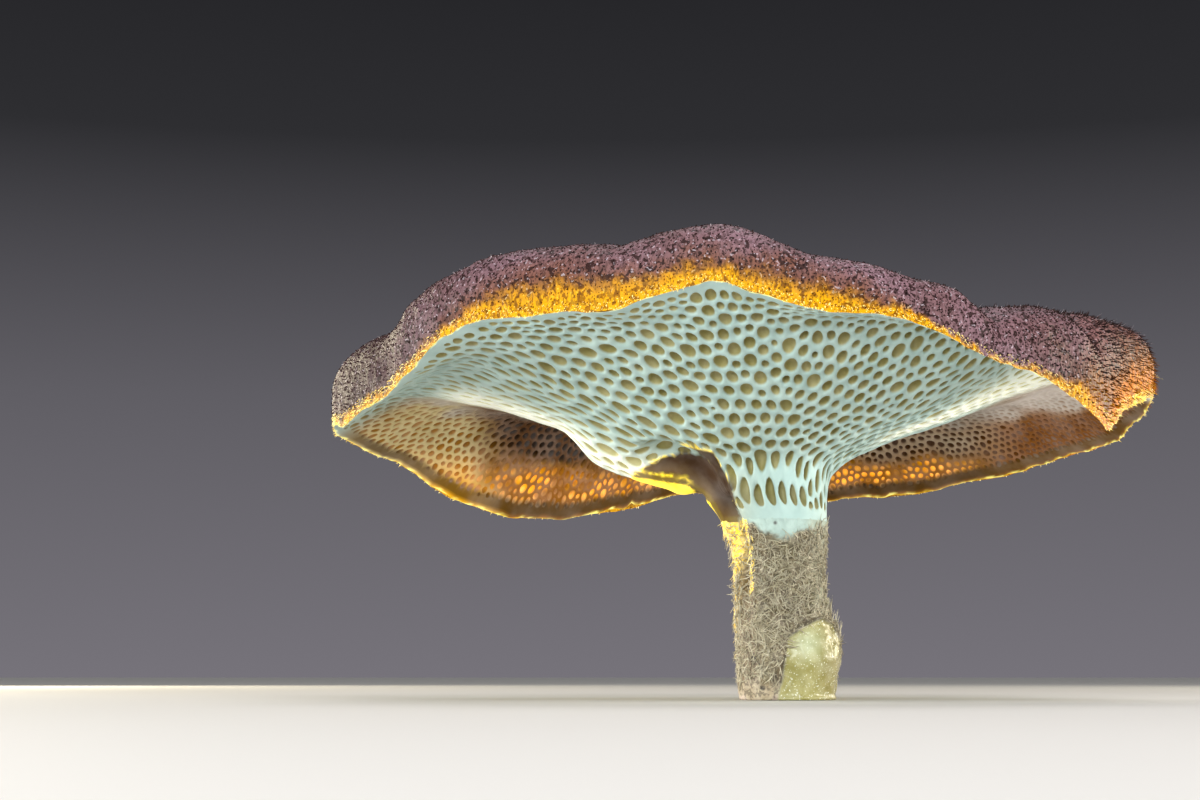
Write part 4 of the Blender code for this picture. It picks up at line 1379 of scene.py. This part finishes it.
def make_felt():
    """The net of pale fibres on the felted part of the stem."""
    seeded = np.random.default_rng(61)
    count = 5200
    angle = seeded.uniform(-math.pi, math.pi, count)
    along = seeded.uniform(0.03, 0.93, count)
    roots, normals = STEM.at(angle, along)
    roots = roots + normals * (stem_relief(roots, along) - 0.01)[:, None]
    felt = felt_share(roots) * (1 - smooth_step(-0.1, 0.1, pad_reach(roots))) * (1 - furrow_share(roots))
    kept = (felt > seeded.uniform(0.3, 0.9, count)) & (roots[:, 2] > FELT_FOOT)
    roots, normals = roots[kept], normals[kept]
    count = len(roots)
    up = np.broadcast_to(np.array((0.0, 0.0, 1.0)), (count, 3))
    round_it = np.cross(normals, up)
    turn = seeded.uniform(-math.pi, math.pi, count)
    leads = np.cos(turn)[:, None] * round_it + np.sin(turn)[:, None] * up + 0.14 * normals
    bend = seeded.uniform(-1.1, 1.1, count)
    bends = (-np.sin(turn)[:, None] * round_it + np.cos(turn)[:, None] * up) * bend[:, None] - 0.30 * normals
    lengths = seeded.uniform(0.25, 0.6, count)
    widths = seeded.uniform(0.020, 0.034, count)
    values = {"shade": seeded.uniform(0, 1, count) ** 0.7, "backlit_gold": np.zeros(count)}
    return strands("stem_felt_fibres", roots, leads, bends, lengths, widths, values)


def make_furrow_hairs():
    """Backlit golden hairs on the furrow's edges and the stem's left side."""
    seeded = np.random.default_rng(62)
    count = 2600
    middle = np.where(seeded.uniform(0, 1, count) < 0.55, 178.0, -131.0)
    angle = np.radians(middle + seeded.normal(0, 3.6, count))
    height = seeded.uniform(2.2, 8.2, count)
    kept = (middle > 0) | (height > 4.6)
    angle, height = angle[kept], height[kept]
    count = len(angle)
    along = (4 + height / STEM_TOP * (STEM.rows - 8)) / (STEM.rows - 1)
    roots, normals = STEM.at(angle, along)
    roots = roots + normals * (stem_relief(roots, along) - 0.02)[:, None]
    leads = normals * 0.8 + seeded.normal(0, 0.35, (count, 3)) - (0, 0, 0.9)
    leads = leads / np.linalg.norm(leads, axis=1, keepdims=True)
    bends = -0.3 * normals + seeded.normal(0, 0.15, (count, 3))
    lengths = 0.10 + 0.45 * seeded.uniform(0, 1, count) ** 3
    widths = seeded.uniform(0.012, 0.024, count)
    values = {"shade": seeded.uniform(0, 1, count), "backlit_gold": np.full(count, 1.0)}
    return strands("furrow_hairs", roots, leads, bends, lengths, widths, values)


cap_skin = wrapped_grid("cap_skin", 840, 112, SKIN, skin_relief)
set_values(cap_skin, skin_values(vertex_places(cap_skin) / MM))
set_values(cap_skin, {"lay": skin_lay(cap_skin)})
pores = make_pores()
for piece in pores:
    pored_values(piece)
tufts = [make_tufts("margin_tufts", 0.55, 0.995, 0.19, 45, 0.08), make_tufts("top_tufts", 0.02, 0.55, 0.26, 46, 0.12)]
edge_hairs = make_edge_hairs()
STEM = stem_sheet()
stem_body = wrapped_grid("stem_body", 300, STEM_ROWS - 1, STEM, stem_relief)
set_values(stem_body, stem_values(vertex_places(stem_body) / MM))
stem_felt = make_felt()
furrow_hairs = make_furrow_hairs()

for obj, finish in [(cap_skin, skin_finish()), (edge_hairs, hair_finish()), (stem_body, stem_finish())]:
    obj.data.materials.append(finish)
flesh = pored_finish()
for obj in pores:
    obj.data.materials.append(flesh)
bristle = tuft_finish()
for obj in tufts:
    obj.data.materials.append(bristle)
fibre = fibre_finish()
for obj in (stem_felt, furrow_hairs):
    obj.data.materials.append(fibre)

for obj in [cap_skin, edge_hairs, *pores, *tufts]:
    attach(obj, "root")
    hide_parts("cap")
for obj in [stem_body, stem_felt, furrow_hairs]:
    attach(obj, "root")
    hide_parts("stem")


def studio():
    """Pale floor, soft grey surround, lamps and the camera."""
    bpy.ops.object.select_all(action="DESELECT")
    bpy.ops.mesh.primitive_plane_add(size=3.0, location=(0, 0, 0))
    floor = bpy.context.object
    floor.name = "studio_floor"
    finish = Finish("pale_floor", 0.8)
    finish.set(base_color=tone(205, 203, 200))
    floor.data.materials.append(finish.material)
    world = bpy.data.worlds.new("grey_studio")
    world.use_nodes = True
    bpy.context.scene.world = world
    tree = world.node_tree
    ground = tree.nodes["Background"]
    point = tree.nodes.new("ShaderNodeTexCoord")
    split = tree.nodes.new("ShaderNodeSeparateXYZ")
    ramp = tree.nodes.new("ShaderNodeValToRGB")
    tree.links.new(point.outputs["Generated"], split.inputs[0])
    tree.links.new(split.outputs["Z"], ramp.inputs["Fac"])
    tree.links.new(ramp.outputs["Color"], ground.inputs["Color"])
    ramp.color_ramp.elements[0].position = 0.0
    ramp.color_ramp.elements[0].color = tone(118, 115, 122)
    ramp.color_ramp.elements[1].position = 0.36
    ramp.color_ramp.elements[1].color = tone(36, 36, 39)
    for place, grey in ((0.14, tone(96, 94, 100)), (0.27, tone(46, 46, 49))):
        ramp.color_ramp.elements.new(place).color = grey
    lamp("front_low", (-0.04, -0.16, 0.02), (0, 0, 0.012), 0.10, 0.30, (0.92, 1.0, 0.98))
    lamp("front_top", (0.03, -0.10, 0.12), (0, -0.01, 0.014), 0.08, 0.12, (1.0, 0.93, 0.97))
    lamp("back_left", (-0.10, 0.10, 0.035), (0, 0, 0.012), 0.06, 0.10, (1.0, 0.90, 0.66))
    lamp("back_right", (0.11, 0.08, 0.03), (0, 0, 0.012), 0.06, 0.10, (1.0, 0.93, 0.72))
    lamp("left_low", (-0.10, -0.005, 0.009), (-0.006, -0.004, 0.011), 0.014, 0.07, (1.0, 0.98, 0.90))
    lamp("right_low", (0.10, -0.01, 0.008), (0.008, -0.004, 0.011), 0.014, 0.06, (1.0, 0.99, 0.94))
    sky = bpy.data.lights.new("soft_sky", "SUN")
    sky.energy = 1.0
    sky.angle = math.radians(40)
    sky_obj = bpy.data.objects.new("soft_sky", sky)
    bpy.context.scene.collection.objects.link(sky_obj)
    sky_obj.rotation_euler = (math.radians(-25), 0.0, 0.0)
    sight = bpy.data.cameras.new("camera")
    camera = bpy.data.objects.new("camera", sight)
    bpy.context.scene.collection.objects.link(camera)
    camera.location = (0.0, -0.085, 0.001)
    camera.rotation_euler = (math.radians(98.047), 0.0, math.radians(5.459))
    sight.lens = 58.65
    sight.clip_start = 0.001
    bpy.context.scene.camera = camera
    bpy.context.scene.view_settings.view_transform = "Standard"


def lamp(name, place, aim, size, power, colour):
    light = bpy.data.lights.new(name, "AREA")
    light.size = size
    light.energy = power
    light.color = colour
    obj = bpy.data.objects.new(name, light)
    bpy.context.scene.collection.objects.link(obj)
    obj.location = place
    obj.rotation_euler = (Vector(aim) - Vector(place)).to_track_quat("-Z", "Y").to_euler()


studio()
